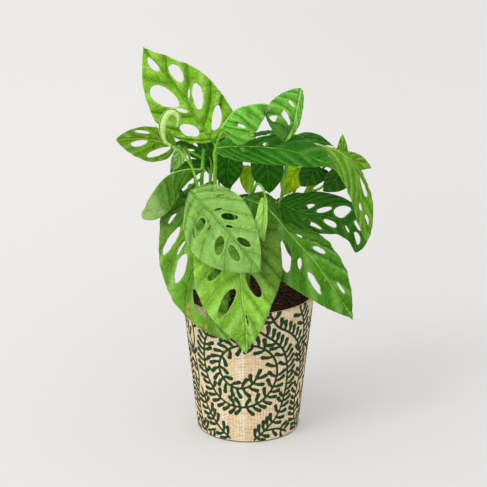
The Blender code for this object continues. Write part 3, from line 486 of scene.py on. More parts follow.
def leaf_skin(name, blade, vein, rough, vein_share, fine, strong=1.0, scorch=0.0):
    """Leaf skin: midrib, side veins with painted shade beside them and painted highlights on the ridges
    between them, hole rims, a fine net and blotches.

    vein_share and fine are how much of the veins and of the net shows, strong is the contrast of the
    relief and of its painted highlights and shade, and scorch is how dry the spots near the tip are. The
    mesh gives the vein phase and the centimetres from the midrib, then s and t, and the painted shade and
    light at each point.
    """
    skin = Finish(name, Specular_IOR_Level=0.11 + 0.07 * strong)
    where = skin.place()
    phase, across, _ = skin.uv("veins")
    along, reach, _ = skin.uv("blade")
    shade = skin.attribute("shade")
    rim = skin.attribute("rim")
    side_vein = 1 - phase.waves().step(0.008, 0.05)
    # Painted shade in the groove beside each side vein, and a painted highlight on the ridge between
    # veins, set off towards one flank as if lit from that side
    groove = 1 - (phase - 0.05).waves().step(0.02, 0.24)
    painted_ridge_highlight = (phase + 0.1).waves().step(0.26, 0.5)
    midrib = 1 - abs(across).step(0.05, 0.16)
    net = skin.node("ShaderNodeTexVoronoi", {"feature": "DISTANCE_TO_EDGE"},
                    {"Vector": where, "Scale": NET_SCALE}).step(0.0, 0.2)
    cloud = skin.noise(where, CLOUD_SCALE, 2.0, 0.5).step(0.32, 0.68)
    blotch = skin.noise(where, BLOTCH_SCALE, 0.8, 0.5).step(0.35, 0.7)
    grain = skin.noise(where, GRAIN_SCALE, 2.0).step(0.35, 0.75)
    # A paler tint for the painted highlights and painted light, and for the pale rims of holes and margin
    light = skin.mix(0.35, blade, (0.75, 0.95, 0.4, 1))
    tint = skin.mix(cloud * (0.3 + 0.3 * strong), blade, scaled(blade, 0.56))
    tint = skin.mix(blotch * (0.15 + 0.2 * strong), tint, scaled(blade, 0.64))
    tint = skin.mix(painted_ridge_highlight * (0.25 + 0.35 * cloud) * strong, tint, light)
    tint = skin.mix(groove * 0.5 * strong, tint, scaled(blade, 0.38))
    tint = skin.mix(grain * 0.08, tint, vein)
    tint = skin.mix((1 - net) * fine, tint, scaled(blade, 0.6))
    tint = skin.mix(side_vein * vein_share * strong, tint, vein)
    tint = skin.mix(midrib * min(1, 0.45 + vein_share) * min(1, 0.4 + 0.6 * strong), tint, vein)
    tint = skin.mix(rim * 0.45, tint, light)
    tint = skin.mix(reach.step(0.965, 1.0) * 0.3, tint, light)
    # Painted shade where the blade darkens, then painted light, partly a paler tone, where it pales
    tint = skin.mix(shade.step(0.0, 1.0) * 0.9, tint, scaled(blade, 0.28))
    tint = skin.mix((0 - shade).step(0.0, 1.0) * 0.8, tint, light)
    dry = skin.noise(where, DRY_SCALE, 2.0).step(0.57, 0.64)
    dry = dry * reach.step(0.55, 0.8) * along.step(0.5, 0.62)
    tint = skin.mix(dry * scorch, tint, colour("#D09A4C"))
    skin.feed("Base Color", tint)
    skin.feed("Roughness", rough + 0.12 * blotch + 0.08 * (1 - net))
    height = 0.3 * net + 1.3 * blotch + 0.25 * grain - 0.9 * strong * side_vein - 1.0 * midrib
    skin.bumps(height, 0.0012, 0.9)
    return skin.made


def stem_skin(name, light, dark):
    """Stem skin: pale and dark patches with fine streaks along the stem."""
    skin = Finish(name, Specular_IOR_Level=0.25)
    where = skin.place()
    streak = skin.noise(skin.stretched(where, (1.0, 1.0, 0.12)), 420.0, 3.0).step(0.3, 0.7)
    patch = skin.noise(where, 26.0, 3.0).step(0.35, 0.68)
    tint = skin.mix(patch, light, dark)
    tint = skin.mix(streak * 0.45, tint, scaled(dark, 0.7))
    skin.feed("Base Color", tint)
    skin.feed("Roughness", 0.38 + 0.2 * streak)
    skin.bumps(streak, 0.0003, 0.5)
    return skin.made


def soil_finish(name, share):
    """Potting mix with brown threads, its colours made lighter or darker by a share."""
    crumb = Finish(name, Specular_IOR_Level=0.2)
    where = crumb.place()
    lump = crumb.noise(where, 170.0, 6.0, 0.5)
    thread = crumb.noise(crumb.stretched(where, (1.0, 3.0, 1.0)), 420.0, 4.0)
    tones = (0.30, "#0E0906"), (0.5, "#2A180E"), (0.68, "#4E2C1A"), (0.85, "#74452C")
    tint = crumb.ramp(lump, [(place, scaled(colour(tone), share)) for place, tone in tones])
    tint = crumb.mix(thread.step(0.55, 0.68) * 0.75, tint, scaled(colour("#8A5636"), share))
    crumb.feed("Base Color", tint)
    crumb.feed("Roughness", 0.75 + 0.2 * lump)
    crumb.bumps(lump + 0.4 * thread, 0.0012, 0.9)
    return crumb.made


def straw_finish():
    """Straw weave, tone by tone along each strand, with a dark green print from the ink attribute."""
    straw = Finish("printed straw weave", Specular_IOR_Level=0.04)
    _, _, height = straw.parts(straw.place())
    warp, weft, _ = straw.uv("strands")
    ink = straw.attribute("ink")
    strand = straw.node("ShaderNodeTexWhiteNoise", {"noise_dimensions": "2D"},
                        {"Vector": straw.vector((warp + 0.5 * weft.whole()).whole(), weft.whole(), 0.0)})
    upright = straw.node("ShaderNodeTexWhiteNoise", {"noise_dimensions": "1D"}, {"W": warp.whole()})
    band = straw.node("ShaderNodeTexNoise", {"noise_dimensions": "1D"},
                      {"W": warp, "Scale": 0.33, "Detail": 2.0})
    fleck = straw.noise(straw.vector(0.5 * warp, 0.16 * weft, 0.0), 1.0, 3.0)
    tones = (0.3, "#F6EACF"), (0.45, "#F2E2C0"), (0.56, "#EFDCB6"), (0.66, "#EDD7AE"), (0.78, "#E6CA9C")
    tint = straw.ramp(band, [(place, colour(tone)) for place, tone in tones])
    tint = straw.mix(strand.step(0.3, 1.0) * 0.5, tint, colour("#D8B88C"))
    tint = straw.mix(upright.step(0.55, 1.0) * 0.15, tint, colour("#FBF2E2"))
    tint = straw.mix(fleck.step(0.6, 0.74) * 0.5, tint, colour("#DDA060"))
    # Painted shade in the weave's recesses: the gaps between upright strands and the lines between rows
    # are darkened
    gap = 1 - warp.waves().step(0.03, 0.14)
    line = 1 - weft.waves().step(0.05, 0.26)
    tint = straw.mix(gap * (0.15 + 0.35 * upright), tint, colour("#A88254"))
    tint = straw.mix(line * (0.3 + 0.6 * strand), tint, colour("#A88254"))
    worn = straw.noise(straw.vector(2.0 * warp, 1.0 * weft, 0.0), 1.0, 2.0)
    printed = 1 - (ink + 0.6 * (worn - 0.5)).step(-0.12, 0.16)
    green = straw.mix(strand.step(0.2, 1.0), colour("#003216"), colour("#034A24"))
    # Painted shade in the gaps and between rows darkens the ink too
    green = straw.mix(gap * 0.4 + 0.3 * line, green, colour("#02200E"))
    tint = straw.mix(printed * 0.97, tint, green)
    # The lowest millimetre or two of the wall turn a dark olive
    foot = 1 - height.step(0.0009, 0.0017)
    tint = straw.mix(foot, tint, colour("#4A4520"))
    straw.feed("Base Color", tint)
    straw.feed("Roughness", 0.62 + 0.2 * strand - 0.12 * printed)
    fibre = straw.noise(straw.vector(1.6 * warp, 12.0 * weft, 0.0), 1.0, 2.0)
    straw.bumps(0.6 * fibre - gap - 0.8 * line, 0.00035, 0.7)
    return straw.made


def only(*pieces):
    """Selects these pieces and nothing else, with the first one active."""
    bpy.ops.object.select_all(action="DESELECT")
    for piece in pieces:
        piece.select_set(True)
    bpy.context.view_layer.objects.active = pieces[0]


def joined(*pieces):
    """Joins the pieces into the first one."""
    only(*pieces)
    bpy.ops.object.join()
    return pieces[0]


def smooth(piece):
    """Smooth shading over the whole piece."""
    only(piece)
    bpy.ops.object.shade_smooth()


def closed_up(piece, gap):
    """Merges points closer than the gap, in millimetres, and turns the faces outwards."""
    only(piece)
    bpy.ops.object.mode_set(mode="EDIT")
    bpy.ops.mesh.select_all(action="SELECT")
    bpy.ops.mesh.remove_doubles(threshold=gap * MM)
    bpy.ops.mesh.normals_make_consistent(inside=False)
    bpy.ops.object.mode_set(mode="OBJECT")
    bpy.ops.object.shade_smooth()


def shaped(piece, kind, **settings):
    """Adds a modifier and applies it."""
    only(piece)
    added = piece.modifiers.new(kind.lower(), kind)
    for key, value in settings.items():
        setattr(added, key, value)
    bpy.ops.object.modifier_apply(modifier=added.name)


def kept(piece, name, slot, *nodes):
    """Names a finished piece, sets it on the part, and lets it stand for the nodes. Its slot is not used.
    """
    piece.name = piece.data.name = name
    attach(piece, "root")
    if nodes:
        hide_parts(*nodes)


def points_of(piece):
    flat = np.empty(len(piece.data.vertices) * 3)
    piece.data.vertices.foreach_get("co", flat)
    return flat.reshape(-1, 3)


def set_points(piece, points):
    piece.data.vertices.foreach_set("co", np.asarray(points, float).ravel())
    piece.data.update()


def set_uv(mesh, name, values):
    """One UV pair for each vertex."""
    layer = mesh.uv_layers.new(name=name)
    corners = np.empty(len(mesh.loops), np.int32)
    mesh.loops.foreach_get("vertex_index", corners)
    layer.data.foreach_set("uv", np.asarray(values, np.float32)[corners].ravel())


def set_attribute(mesh, name, values):
    """One number for each vertex."""
    mesh.attributes.new(name, "FLOAT", "POINT").data.foreach_set("value", np.asarray(values, np.float32))


def stalk(name, path, radii, sides=12):
    """A round stem through the points, in millimetres, from a curve's bevel."""
    curve = bpy.data.curves.new(name, "CURVE")
    curve.dimensions = "3D"
    curve.bevel_depth = MM
    curve.bevel_resolution = (sides - 4) // 2
    curve.use_fill_caps = True
    line = curve.splines.new("POLY")
    line.points.add(len(path) - 1)
    for point, place, radius in zip(line.points, path, radii):
        point.co = (*(MM * v for v in place), 1)
        point.radius = radius
    drawn = bpy.data.objects.new(name, curve)
    bpy.context.scene.collection.objects.link(drawn)
    only(drawn)
    bpy.ops.object.convert(target="MESH")
    made = bpy.context.active_object
    closed_up(made, 0.01)
    return made


# Side veins run between the holes whose half-size in s is over this
PARTING_HOLE = 0.02
# A half with fewer than two such holes has plain rows in their place: where these start, and their gap,
# first in millimetres, then as the least and the most share of the length
PLAIN_ROW_START = 0.12
PLAIN_ROW_GAP = 9.0
PLAIN_ROW_SHARES = (0.11, 0.2)
# Their gap beyond the outermost holes, as the least and the most share of the length
END_VEIN_SHARES = (0.08, 0.16)


def slant_of(hole):
    return hole[5] if len(hole) > 5 else 0


def in_hole(hole, s, t):
    """Under 1 inside the hole."""
    _, s0, t0, ds, dt = hole[:5]
    return ((s - s0 - slant_of(hole) * (t - t0)) / ds) ** 2 + ((t - t0) / dt) ** 2


def holed(leaf, s, t, side):
    return any(hole[0] == side and in_hole(hole, s, t) < 1 for hole in leaf.holes)


def vein_rows(leaf, side):
    """Where the side veins run between the holes: their s at mid-blade, and their slant."""
    rows = sorted((hole[1] + slant_of(hole) * (0.5 - hole[2]), slant_of(hole))
                  for hole in leaf.holes if hole[0] == side and hole[3] > PARTING_HOLE)
    if len(rows) < 2:
        gap = np.clip(PLAIN_ROW_GAP / leaf.length, *PLAIN_ROW_SHARES)
        rows = [(s, 0) for s in np.arange(PLAIN_ROW_START, 1, gap)]
    middles = [((a[0] + b[0]) / 2, (a[1] + b[1]) / 2) for a, b in zip(rows, rows[1:])]
    gap = np.clip((rows[-1][0] - rows[0][0]) / len(middles), *END_VEIN_SHARES)
    while middles[0][0] > gap:
        middles.insert(0, (middles[0][0] - gap, 0.7 * middles[0][1]))
    while middles[-1][0] < 1 - 0.5 * gap:
        middles.append((middles[-1][0] + gap, 0.5 * middles[-1][1]))
    return np.array([(middles[0][0] - 1, 0)] + middles + [(middles[-1][0] + 1, 0)])


def vein_phase(leaf, s, t, side):
    """A number that is whole on each side vein."""
    rows = vein_rows(leaf, side)
    at = rows[:, 0] + rows[:, 1] * (t[:, None] - 0.5)
    spans = np.maximum(at[:, 1:] - at[:, :-1], 0.01)
    return np.clip((s[:, None] - at[:, :-1]) / spans, 0, 1).sum(1)


# A blade's mesh: the spacing round a hole and the least room between points inside, both in cells, and
# the fewest points round a hole
HOLE_SPACING = 0.75
LEAST_ROOM = 0.62
LEAST_HOLE_POINTS = 10
# Rows of points for each cell of its length. They crowd at both ends and are a cell apart midway.
ROW_CROWD = 1.57
# Relief: the pads and lumps as shares of a blade's swell, and the groove over its midrib in millimetres
PAD_SHARE = 1.25
LUMP_SHARE = 1.2
GROOVE_DEPTH = 0.45
GROOVE_WIDTH = 1.5


def flat_spot(leaf, s, t, side):
    """Place on the flattened blade, in millimetres."""
    u, v = leaf.flat(np.float64(s), np.float64(t), side)
    return u * leaf.length, side * v * leaf.length


def hole_ring(leaf, hole):
    """Vein coordinates round a hole's edge, about evenly spaced on the flattened blade."""
    side, s0, t0, ds, dt = hole[:5]
    shape = leaf.shape[0 if side > 0 else 1]
    width = shape["width"] * half_width(s0, shape["swell"], shape["taper"])
    around = math.tau * leaf.length * math.hypot(ds, dt * width) / math.sqrt(2)
    number = max(LEAST_HOLE_POINTS, round(around / (HOLE_SPACING * CELL)))
    return [(s0 + ds * math.cos(a) + slant_of(hole) * dt * math.sin(a), t0 + dt * math.sin(a), side)
            for a in np.linspace(0, math.tau, number, endpoint=False)]


def flat_blade(leaf):
    """Triangulates the flattened blade round its holes: s, t and side of each point, and the faces."""
    flat, places, edges, taken = [], [], [], {}

    def cell_at(x, y):
        return math.floor(x / CELL), math.floor(y / CELL)

    def crowded(x, y):
        column, row = cell_at(x, y)
        return any(math.hypot(x - a, y - b) < LEAST_ROOM * CELL for i in (-1, 0, 1) for j in (-1, 0, 1)
                   for a, b in taken.get((column + i, row + j), ()))

    def add(s, t, side):
        x, y = flat_spot(leaf, s, t, side)
        taken.setdefault(cell_at(x, y), []).append((x, y))
        flat.append(Vector((x, y)))
        places.append((s, t, side))
        return len(flat) - 1

    def join(ring):
        edges.extend(zip(ring, ring[1:]))

    count = round(ROW_CROWD * leaf.length / CELL)
    levels = [0.5 - 0.5 * math.cos(math.pi * k / count) for k in range(1, count)]
    base, tip = add(0, 0, 1), add(1, 0, 1)
    upper = [add(s, 1, 1) for s in levels]
    lower = [add(s, 1, -1) for s in reversed(levels)]
    join([base, *upper, tip, *lower, base])
    ribs = round(leaf.length / CELL)
    join([base, *[add((k / ribs) ** (1 / VEIN_CROWD), 0, 1) for k in range(1, ribs)], tip])
    for hole in leaf.holes:
        ring = [add(*place) for place in hole_ring(leaf, hole)]
        join(ring + ring[:1])
    for s in levels:
        for side in (1, -1):
            across = max(2, round(abs(flat_spot(leaf, s, 1, side)[1]) / CELL))
            for t in (k / across for k in range(1, across)):
                if not holed(leaf, s, t, side) and not crowded(*flat_spot(leaf, s, t, side)):
                    add(s, t, side)
    _, _, faces, origin, _, _ = delaunay_2d_cdt(flat, edges, [], 1, 1e-5)
    where = np.array([places[sources[0]] for sources in origin])
    solid = []
    for face in faces:
        corners = where[list(face)]
        s, t, _ = corners.mean(0)
        if not holed(leaf, s, t, corners[np.argmax(corners[:, 1]), 2]):
            solid.append(face)
    return *where.T, solid


def relief(bent, s, t, across, phase, swell):
    """Height over the bent blade: pads between the veins, lumps, and a groove along the midrib."""
    puffed = np.abs(np.sin(np.pi * phase)) ** 0.75 - 0.55
    room = np.clip(4.4 * t * (1 - 0.9 * t), 0, 1) ** 0.8 * np.clip(s / 0.12, 0, 1)
    groove = -GROOVE_DEPTH * np.exp(-(across / GROOVE_WIDTH) ** 2) * np.clip(s / 0.1, 0, 1)
    rough = np.array([noise.noise(Vector(p) * 0.13) + 0.4 * noise.noise(Vector(p) * 0.4) for p in bent])
    return swell * (PAD_SHARE * puffed * room + LUMP_SHARE * rough * np.clip(3 * t, 0, 1)) + groove


def blade_piece(leaf, skins, swell):
    """The blade, bent into place, with its relief, its skins and its thickness."""
    s, t, side, faces = flat_blade(leaf)
    bent = np.zeros((len(s), 3))
    phase = np.zeros(len(s))
    for way in (1, -1):
        own = side == way
        bent[own] = leaf.surface(s[own], t[own], way)
        phase[own] = vein_phase(leaf, s[own], t[own], way)
    across = np.array([flat_spot(leaf, *place)[1] for place in zip(s, t, side)])
    mesh = bpy.data.meshes.new(leaf.name)
    mesh.from_pydata([tuple(p) for p in bent], [], faces)
    made = bpy.data.objects.new(leaf.name, mesh)
    bpy.context.scene.collection.objects.link(made)
    normals = np.array([v.normal for v in mesh.vertices])
    set_points(made, (bent + normals * relief(bent, s, t, across, phase, swell)[:, None]) * MM)
    set_uv(mesh, "veins", np.stack([phase, across / 10], 1))
    set_uv(mesh, "blade", np.stack([s, t], 1))
    # Painted shade and light at each point of the blade, from its table
    half, low, high, first, last = BLADE_PAINTED_SHADE_AND_LIGHT.get(leaf.name, NO_PAINTED_SHADE_AND_LIGHT)
    own = (half == 0) | (side == half) | (t == 0)
    set_attribute(mesh, "shade", np.interp(s, (low, high), (first, last)) * own)
    rim = np.zeros(len(s))
    for hole in leaf.holes:
        near = np.exp(-5 * np.maximum(0, in_hole(hole, s, t) - 1))
        rim = np.maximum(rim, near * (side == hole[0]))
    set_attribute(mesh, "rim", rim)
    for skin in skins:
        mesh.materials.append(skin)
    shaped(made, "SOLIDIFY", thickness=BLADE * MM, offset=0.0, material_offset=1, material_offset_rim=1)
    smooth(made)
    return made


# The rib under a blade: its radii in millimetres, and the shares of the length between which it runs
RIB_RADII = (1.15, 0.3)
RIB_SHARES = (0.015, 0.92)
RIB_POINTS = 26
# How far round its nearest point a stem's end reaches, how far off it may be for the rib to join it,
# and the radii where it does, in millimetres
STEM_END = 2.6
JOINING_GAP = 9.0
JOINT_RADII = (1.25, 1.35, 1.3)


def midrib_under(leaf, stem_points):
    """The stalk's end, from where the stem stops, that runs on under the blade as its midrib."""
    centre, _, up = leaf.frame(np.linspace(*RIB_SHARES, RIB_POINTS))
    radii = np.linspace(*RIB_RADII, RIB_POINTS)
    under = centre - up * (0.25 + 0.85 * radii)[:, None]
    near = stem_points[np.argmin(np.linalg.norm(stem_points - under[0], axis=1))]
    ring = stem_points[np.linalg.norm(stem_points - near, axis=1) < STEM_END].mean(0)
    if np.linalg.norm(ring - under[0]) > JOINING_GAP:
        return stalk(leaf.name + "_rib", under, radii)
    start = ring - unit(under[0] - ring) * 0.8
    path = np.vstack([start, ring, (ring + under[0]) / 2, under])
    return stalk(leaf.name + "_rib", path, np.concatenate([JOINT_RADII, radii]))


def make_foliage(stem_points, rib):
    """Every blade with its rib, in the two skins of its finish."""
    skins = {}
    for name, (top, vein, below, strong) in FINISHES.items():
        upper = leaf_skin(name + " leaf", colour(top), colour(vein), rough=0.3, vein_share=0.33, fine=0.16,
                          strong=strong, scorch=SCORCH * (name == "worn"))
        lower = leaf_skin(name + " leaf, underside", colour(below), colour(vein), rough=0.5,
                          vein_share=0.6, fine=0.35, strong=min(1, 2 * strong))
        skins[name] = (upper, lower)
    for leaf in LEAVES:
        finish, swell = BLADE_FINISH[leaf.name]
        blade = blade_piece(leaf, skins[finish], swell)
        under = midrib_under(leaf, stem_points)
        under.data.materials.append(rib)
        kept(joined(blade, under), leaf.name.replace("leaf", "blade"), SLOTS[leaf.name], leaf.name)


# Cells of the stems' remesh and the gap of their weld, in metres
STEM_VOXEL = 0.00052
STEM_WELD = 0.00001


def make_stems(skin):
    """Rounds off the CAD vines: their tubes are remeshed in one skin and smoothed.

    Returns all the CAD vines' points, in millimetres.
    """
    everything = []
    for name in [node for node in NODES if node.startswith("vine_")]:
        only(NODES[name])
        bpy.ops.object.duplicate()
        vine = bpy.context.active_object
        vine.parent = None
        for key in list(vine.keys()):
            del vine[key]
        vine.data.materials.clear()
        shaped(vine, "WELD", merge_threshold=STEM_WELD)
        everything.append(points_of(vine) / MM)
        shaped(vine, "REMESH", mode="VOXEL", voxel_size=STEM_VOXEL)
        shaped(vine, "SMOOTH", factor=0.5, iterations=6)
        smooth(vine)
        vine.data.materials.append(skin)
        kept(vine, name.replace("vine", "stems"), SLOTS[name], name)
    return np.vstack(everything)


def turned(profile, columns, place):
    """A body of revolution made from a flat grid: rows are the profile, columns go round.

    place(row, angle, radius, height) gives the radius and height of each vertex, in millimetres.
    Returns the body, with the row, column and height of each vertex.
    """
    bpy.ops.mesh.primitive_grid_add(x_subdivisions=columns, y_subdivisions=len(profile) - 1, size=2)
    made = bpy.context.active_object
    grid = points_of(made)
    column = np.rint((grid[:, 0] + 1) / 2 * columns).astype(int)
    row = np.rint((grid[:, 1] + 1) / 2 * (len(profile) - 1)).astype(int)
    radius, height = np.array(profile, float)[row].T
    angle = math.tau * (column % columns) / columns
    radius, height = place(row, angle, radius, height)
    set_points(made, np.stack([radius * np.sin(angle), -radius * np.cos(angle), height], 1) * MM)
    return made, row, column, height


# The weave: upright strands, the mesh columns for each, the height of a strand across and of a mesh
# row, the wall's first row, the relief, and the mean way round the wall, in millimetres
WARPS = 110
WARP_COLUMNS = 4
COLUMNS = WARP_COLUMNS * WARPS
WEFT = 1.62
ROW = WEFT / 2
FIRST_ROW = 2
WEAVE_RELIEF = 0.16
AROUND = math.pi * (BASKET_TOP_RADIUS + BASKET_BASE_RADIUS)
# The print: its stems' half-width, then its club-shaped leaves: their length, half-widths, gap, lean and
# bend, the bare room that they need, the sizes tried, where they start on a stem, and how far one side
# lags the other, in millimetres and radians
STEM_HALF = 1.2
SPRIG_LEAF = 10.0
SPRIG_HALVES = (0.95, 1.75, 2.2)
SPRIG_GAP = 5.9
SPRIG_LEAN = 1.15
SPRIG_BEND = 0.3
SPRIG_ROOM = 2.0
SPRIG_SIZES = (1.0, 0.84, 0.68)
SPRIG_START = 2.0
SPRIG_STAGGER = 1.2
# Rows of the rim that carry the print on
PRINTED_RIM = 4
# The ink field where the wall is bare, and how far past its edge a stamped bar lowers it
BARE = 2.5
STAMP_REACH = 2.0
# The pattern that repeats round the wall: a scroll, the stem that leaves it and the winding stems, as
# millimetres round the wall from the scroll's middle and up from the base
REPEATS = 3
SCROLL_PLACE = -5
SCROLL_HEIGHT = 78.0
SCROLL_RADII = (14.0, 39.0)
SCROLL_TURN = (-0.35, -2.5 * math.pi)
SCROLL_POINTS = 110
WINDING_POINTS = 70
SCROLL_TAIL = [(-14, 41), (-28, 50), (-38, 66), (-41, 84), (-39, 102), (-32, 118), (-20, 130), (-8, 138)]
WINDING_STEMS = [
    [(12, 3), (23, 12), (38, 28), (45, 50), (46, 74), (40, 96), (28, 110), (14, 122), (4, 138)],
    [(72, 3), (64, 22), (63, 42), (67, 62), (64, 84), (58, 100), (46, 114), (32, 124), (24, 138)],
    [(62, 88), (66, 104), (64, 120), (56, 138)],
    [(-16, 4), (-30, 16), (-42, 32), (-50, 52)],
    [(23, 12), (38, 12), (52, 6)],
    [(-34, 10), (-46, 6)],
    [(-6, 137), (-10, 126), (-22, 116)],
]


def printed_vines():
    """The stems of the print on the opened-out wall: scrolls, with winding vines between them."""
    lines = []
    for index in range(REPEATS):
        x = SCROLL_PLACE + index * AROUND / REPEATS
        turn = np.linspace(*SCROLL_TURN, SCROLL_POINTS)
        size = np.interp(turn, turn[[-1, 0]], SCROLL_RADII[::-1])
        inward = np.stack([x + size * np.cos(turn), SCROLL_HEIGHT + size * np.sin(turn)], 1)[::-1]
        lines.append(inward)
        for points in ([tuple(inward[0] - (x, 0)), *SCROLL_TAIL], *WINDING_STEMS):
            lines.append(spline([(x + px, pz, 0) for px, pz in points], WINDING_POINTS)[:, :2])
    return lines


def stamp(field, start, end, first, last):
    """Lowers the ink field to the distance from a tapered bar's edge, near that bar only."""
    pad = max(first, last) + STAMP_REACH
    low, high = np.minimum(start, end) - pad, np.maximum(start, end) + pad
    columns = np.arange(math.floor(low[0] / AROUND * COLUMNS), math.ceil(high[0] / AROUND * COLUMNS) + 1)
    rows = np.arange(max(0, math.floor(low[1] / ROW)),
                     min(field.shape[0] - 1, math.ceil(high[1] / ROW)) + 1)
    if not len(rows):
        return
    x = columns[None] * AROUND / COLUMNS - start[0]
    z = rows[:, None] * ROW - start[1]
    run = end - start
    along = np.clip((x * run[0] + z * run[1]) / (run @ run), 0, 1)
    away = np.hypot(x - along * run[0], z - along * run[1]) - (first + (last - first) * along)
    window = np.ix_(rows, columns % COLUMNS)
    field[window] = np.minimum(field[window], away)


def inked(field, spot):
    """The ink field at a spot of the wall."""
    row = min(max(round(spot[1] / ROW), 0), field.shape[0] - 1)
    return field[row, round(spot[0] / AROUND * COLUMNS) % COLUMNS]


def add_sprigs(field, line, length, rng):
    """Stamps paired club-shaped leaves along a stem, wherever the wall is still bare."""
    run = np.concatenate([[0], np.cumsum(np.linalg.norm(np.diff(line, axis=0), axis=1))])
    foot, waist, head = SPRIG_HALVES
    for at in np.arange(SPRIG_START, run[-1], SPRIG_GAP):
        for way in (1, -1, 0) if at + SPRIG_GAP > run[-1] else (1, -1):
            near = min(at + (SPRIG_STAGGER if way < 0 else 0), run[-1] - 0.01)
            spot = np.array([np.interp(near, run, line[:, k]) for k in (0, 1)])
            back = np.array([np.interp(near - 1, run, line[:, k]) for k in (0, 1)])
            size = length * rng.uniform(0.92, 1.08)
            lean = math.atan2(*(spot - back)[::-1]) + way * (SPRIG_LEAN + rng.uniform(-0.08, 0.08))
            bend = lean - way * SPRIG_BEND
            middle = spot + 0.5 * size * np.array([math.cos(lean), math.sin(lean)])
            end = middle + 0.5 * size * np.array([math.cos(bend), math.sin(bend)])
            if min(inked(field, end), inked(field, (middle + end) / 2)) > SPRIG_ROOM:
                stamp(field, spot, middle, foot, waist)
                stamp(field, middle, end, waist, head)


def ink_field(rows):
    """Distance to the nearest printed edge at each wall vertex, in millimetres, below 0 on ink."""
    field = np.full((rows, COLUMNS), BARE)
    vines = printed_vines()
    for line in vines:
        for a, b in zip(line, line[1:]):
            stamp(field, a, b, STEM_HALF, STEM_HALF)
    rng = np.random.default_rng(3)
    for share in SPRIG_SIZES:
        for line in vines:
            add_sprigs(field, line, share * SPRIG_LEAF, rng)
    return field


def make_basket(finish):
    """The basket: a slightly hollow base, a woven wall, a rolled rim, the inside and the floor."""
    rim = BASKET_WALL / 2
    crown = BASKET_HEIGHT - rim
    rows = int(crown // ROW)

    def outside(z):
        return BASKET_BASE_RADIUS + (BASKET_TOP_RADIUS - BASKET_BASE_RADIUS) * z / BASKET_HEIGHT

    profile = [(0, 0.25), (30, 0.25), (outside(0) - 3, 0), (outside(0) - 1.2, 0), (outside(0) - 0.3, 0.35),
               (outside(0.9), 0.9)]
    first = len(profile)
    profile += [(outside(k * ROW), k * ROW) for k in range(FIRST_ROW, rows)]
    last = len(profile)
    profile += [(outside(crown) - rim + rim * math.cos(a), crown + rim * math.sin(a))
                for a in np.radians(np.linspace(0, 180, 9))]
    profile += [(outside(z) - BASKET_WALL, z) for z in (125, 90, 45, 6)]
    profile += [(30, BASKET_FLOOR), (0, BASKET_FLOOR)]

    def woven(row, angle, radius, height):
        on_wall = (row >= first) & (row < last)
        column = angle / math.tau * COLUMNS
        over = np.cos(math.pi * column / WARP_COLUMNS) * np.cos(math.pi * height / WEFT)
        ease = np.clip((height - 1.6) / 3, 0, 1) * np.clip((BASKET_HEIGHT - 4 - height) / 2, 0, 1)
        return radius + on_wall * WEAVE_RELIEF * over * ease, height

    basket, row, column, height = turned(profile, COLUMNS, woven)
    field = ink_field(rows)
    ink = np.full(len(row), BARE)
    on_wall = (row >= first) & (row < last)
    ink[on_wall] = field[(row - first + FIRST_ROW)[on_wall], (column % COLUMNS)[on_wall]]
    on_rim = (row >= last) & (row < last + PRINTED_RIM)
    ink[on_rim] = field[-1, (column % COLUMNS)[on_rim]]
    set_attribute(basket.data, "ink", ink)
    set_uv(basket.data, "strands", np.stack([column / WARP_COLUMNS, height / WEFT], 1))
    basket.data.materials.append(finish)
    closed_up(basket, 0.002)
    kept(basket, "woven_basket", SLOTS["basket"], "basket")


# The rings and columns of the soil's top, and how many crumbs and fibres lie on it
SOIL_RINGS = 74
SOIL_COLUMNS = 230
CRUMBS = 330
FIBRES = 120


def soil_height(x, y):
    """The CAD soil's lumps, in millimetres."""
    long = np.sin(0.19 * x + 0.7) * np.cos(0.16 * y - 0.4)
    short = np.sin(0.41 * x - 0.33 * y + 1.9) * np.cos(0.37 * y + 0.22 * x)
    return 1.6 * (0.6 * long + 0.4 * short)


def scattered(rng, share):
    """A random place on the soil, within a share of its radius: its bearing, distance, x and y."""
    spin, far = rng.uniform(0, math.tau), SOIL_RADIUS * share * math.sqrt(rng.uniform(0, 1))
    return spin, far, far * math.sin(spin), -far * math.cos(spin)


def make_soil_bed(finish):
    """The soil: its lumpy, crumbling top, and down the inside of the pot to the floor."""
    profile = [(r, SOIL_TOP) for r in np.linspace(0, SOIL_RADIUS, SOIL_RINGS)]
    profile += [(SOIL_RADIUS - 6, 60), (46.5, 8), (0, 8)]

    def lumpy(row, angle, radius, height):
        x, y = radius * np.sin(angle), -radius * np.cos(angle)
        top = height > SOIL_TOP - 1
        ease = np.clip((SOIL_RADIUS - radius) / 5, 0, 1)
        fine = np.array([noise.fractal(Vector((a, b, 3.0)) * 0.22, 0.7, 2.1, 4) for a, b in zip(x, y)])
        return radius, height + top * ease * (soil_height(x, y) + 1.3 * fine)

    soil, *_ = turned(profile, SOIL_COLUMNS, lumpy)
    soil.data.materials.append(finish)
    closed_up(soil, 0.002)
    kept(soil, "soil_bed", SLOTS["soil"], "soil")


def make_crumbs(finish, rng):
    """Lumpy crumbs on the soil, each a copy of one small ball."""
    bpy.ops.mesh.primitive_ico_sphere_add(subdivisions=2, radius=1)
    model = bpy.context.active_object
    crumbs = []
    for _ in range(CRUMBS):
        spin, far, x, y = scattered(rng, 0.97)
        size = rng.uniform(0.5, 1.9)
        crumb = model.copy()
        crumb.data = model.data.copy()
        bpy.context.scene.collection.objects.link(crumb)
        points = points_of(crumb)
        points *= 1 + 0.35 * np.array([[noise.noise(Vector(p) * 1.3 + Vector((spin * 9, far, 0)))]
                                       for p in points])
        points = points * size * rng.uniform(0.6, 1.2, 3)
        turn = np.array(Matrix.Rotation(spin, 3, "Z"))
        set_points(crumb, (points @ turn + (x, y, SOIL_TOP + soil_height(x, y) + 0.2 * size)) * MM)
        crumbs.append(crumb)
    bpy.data.objects.remove(model)
    heap = joined(*crumbs)
    heap.data.materials.append(finish)
    smooth(heap)
    kept(heap, "soil_crumbs", SLOTS["soil"])


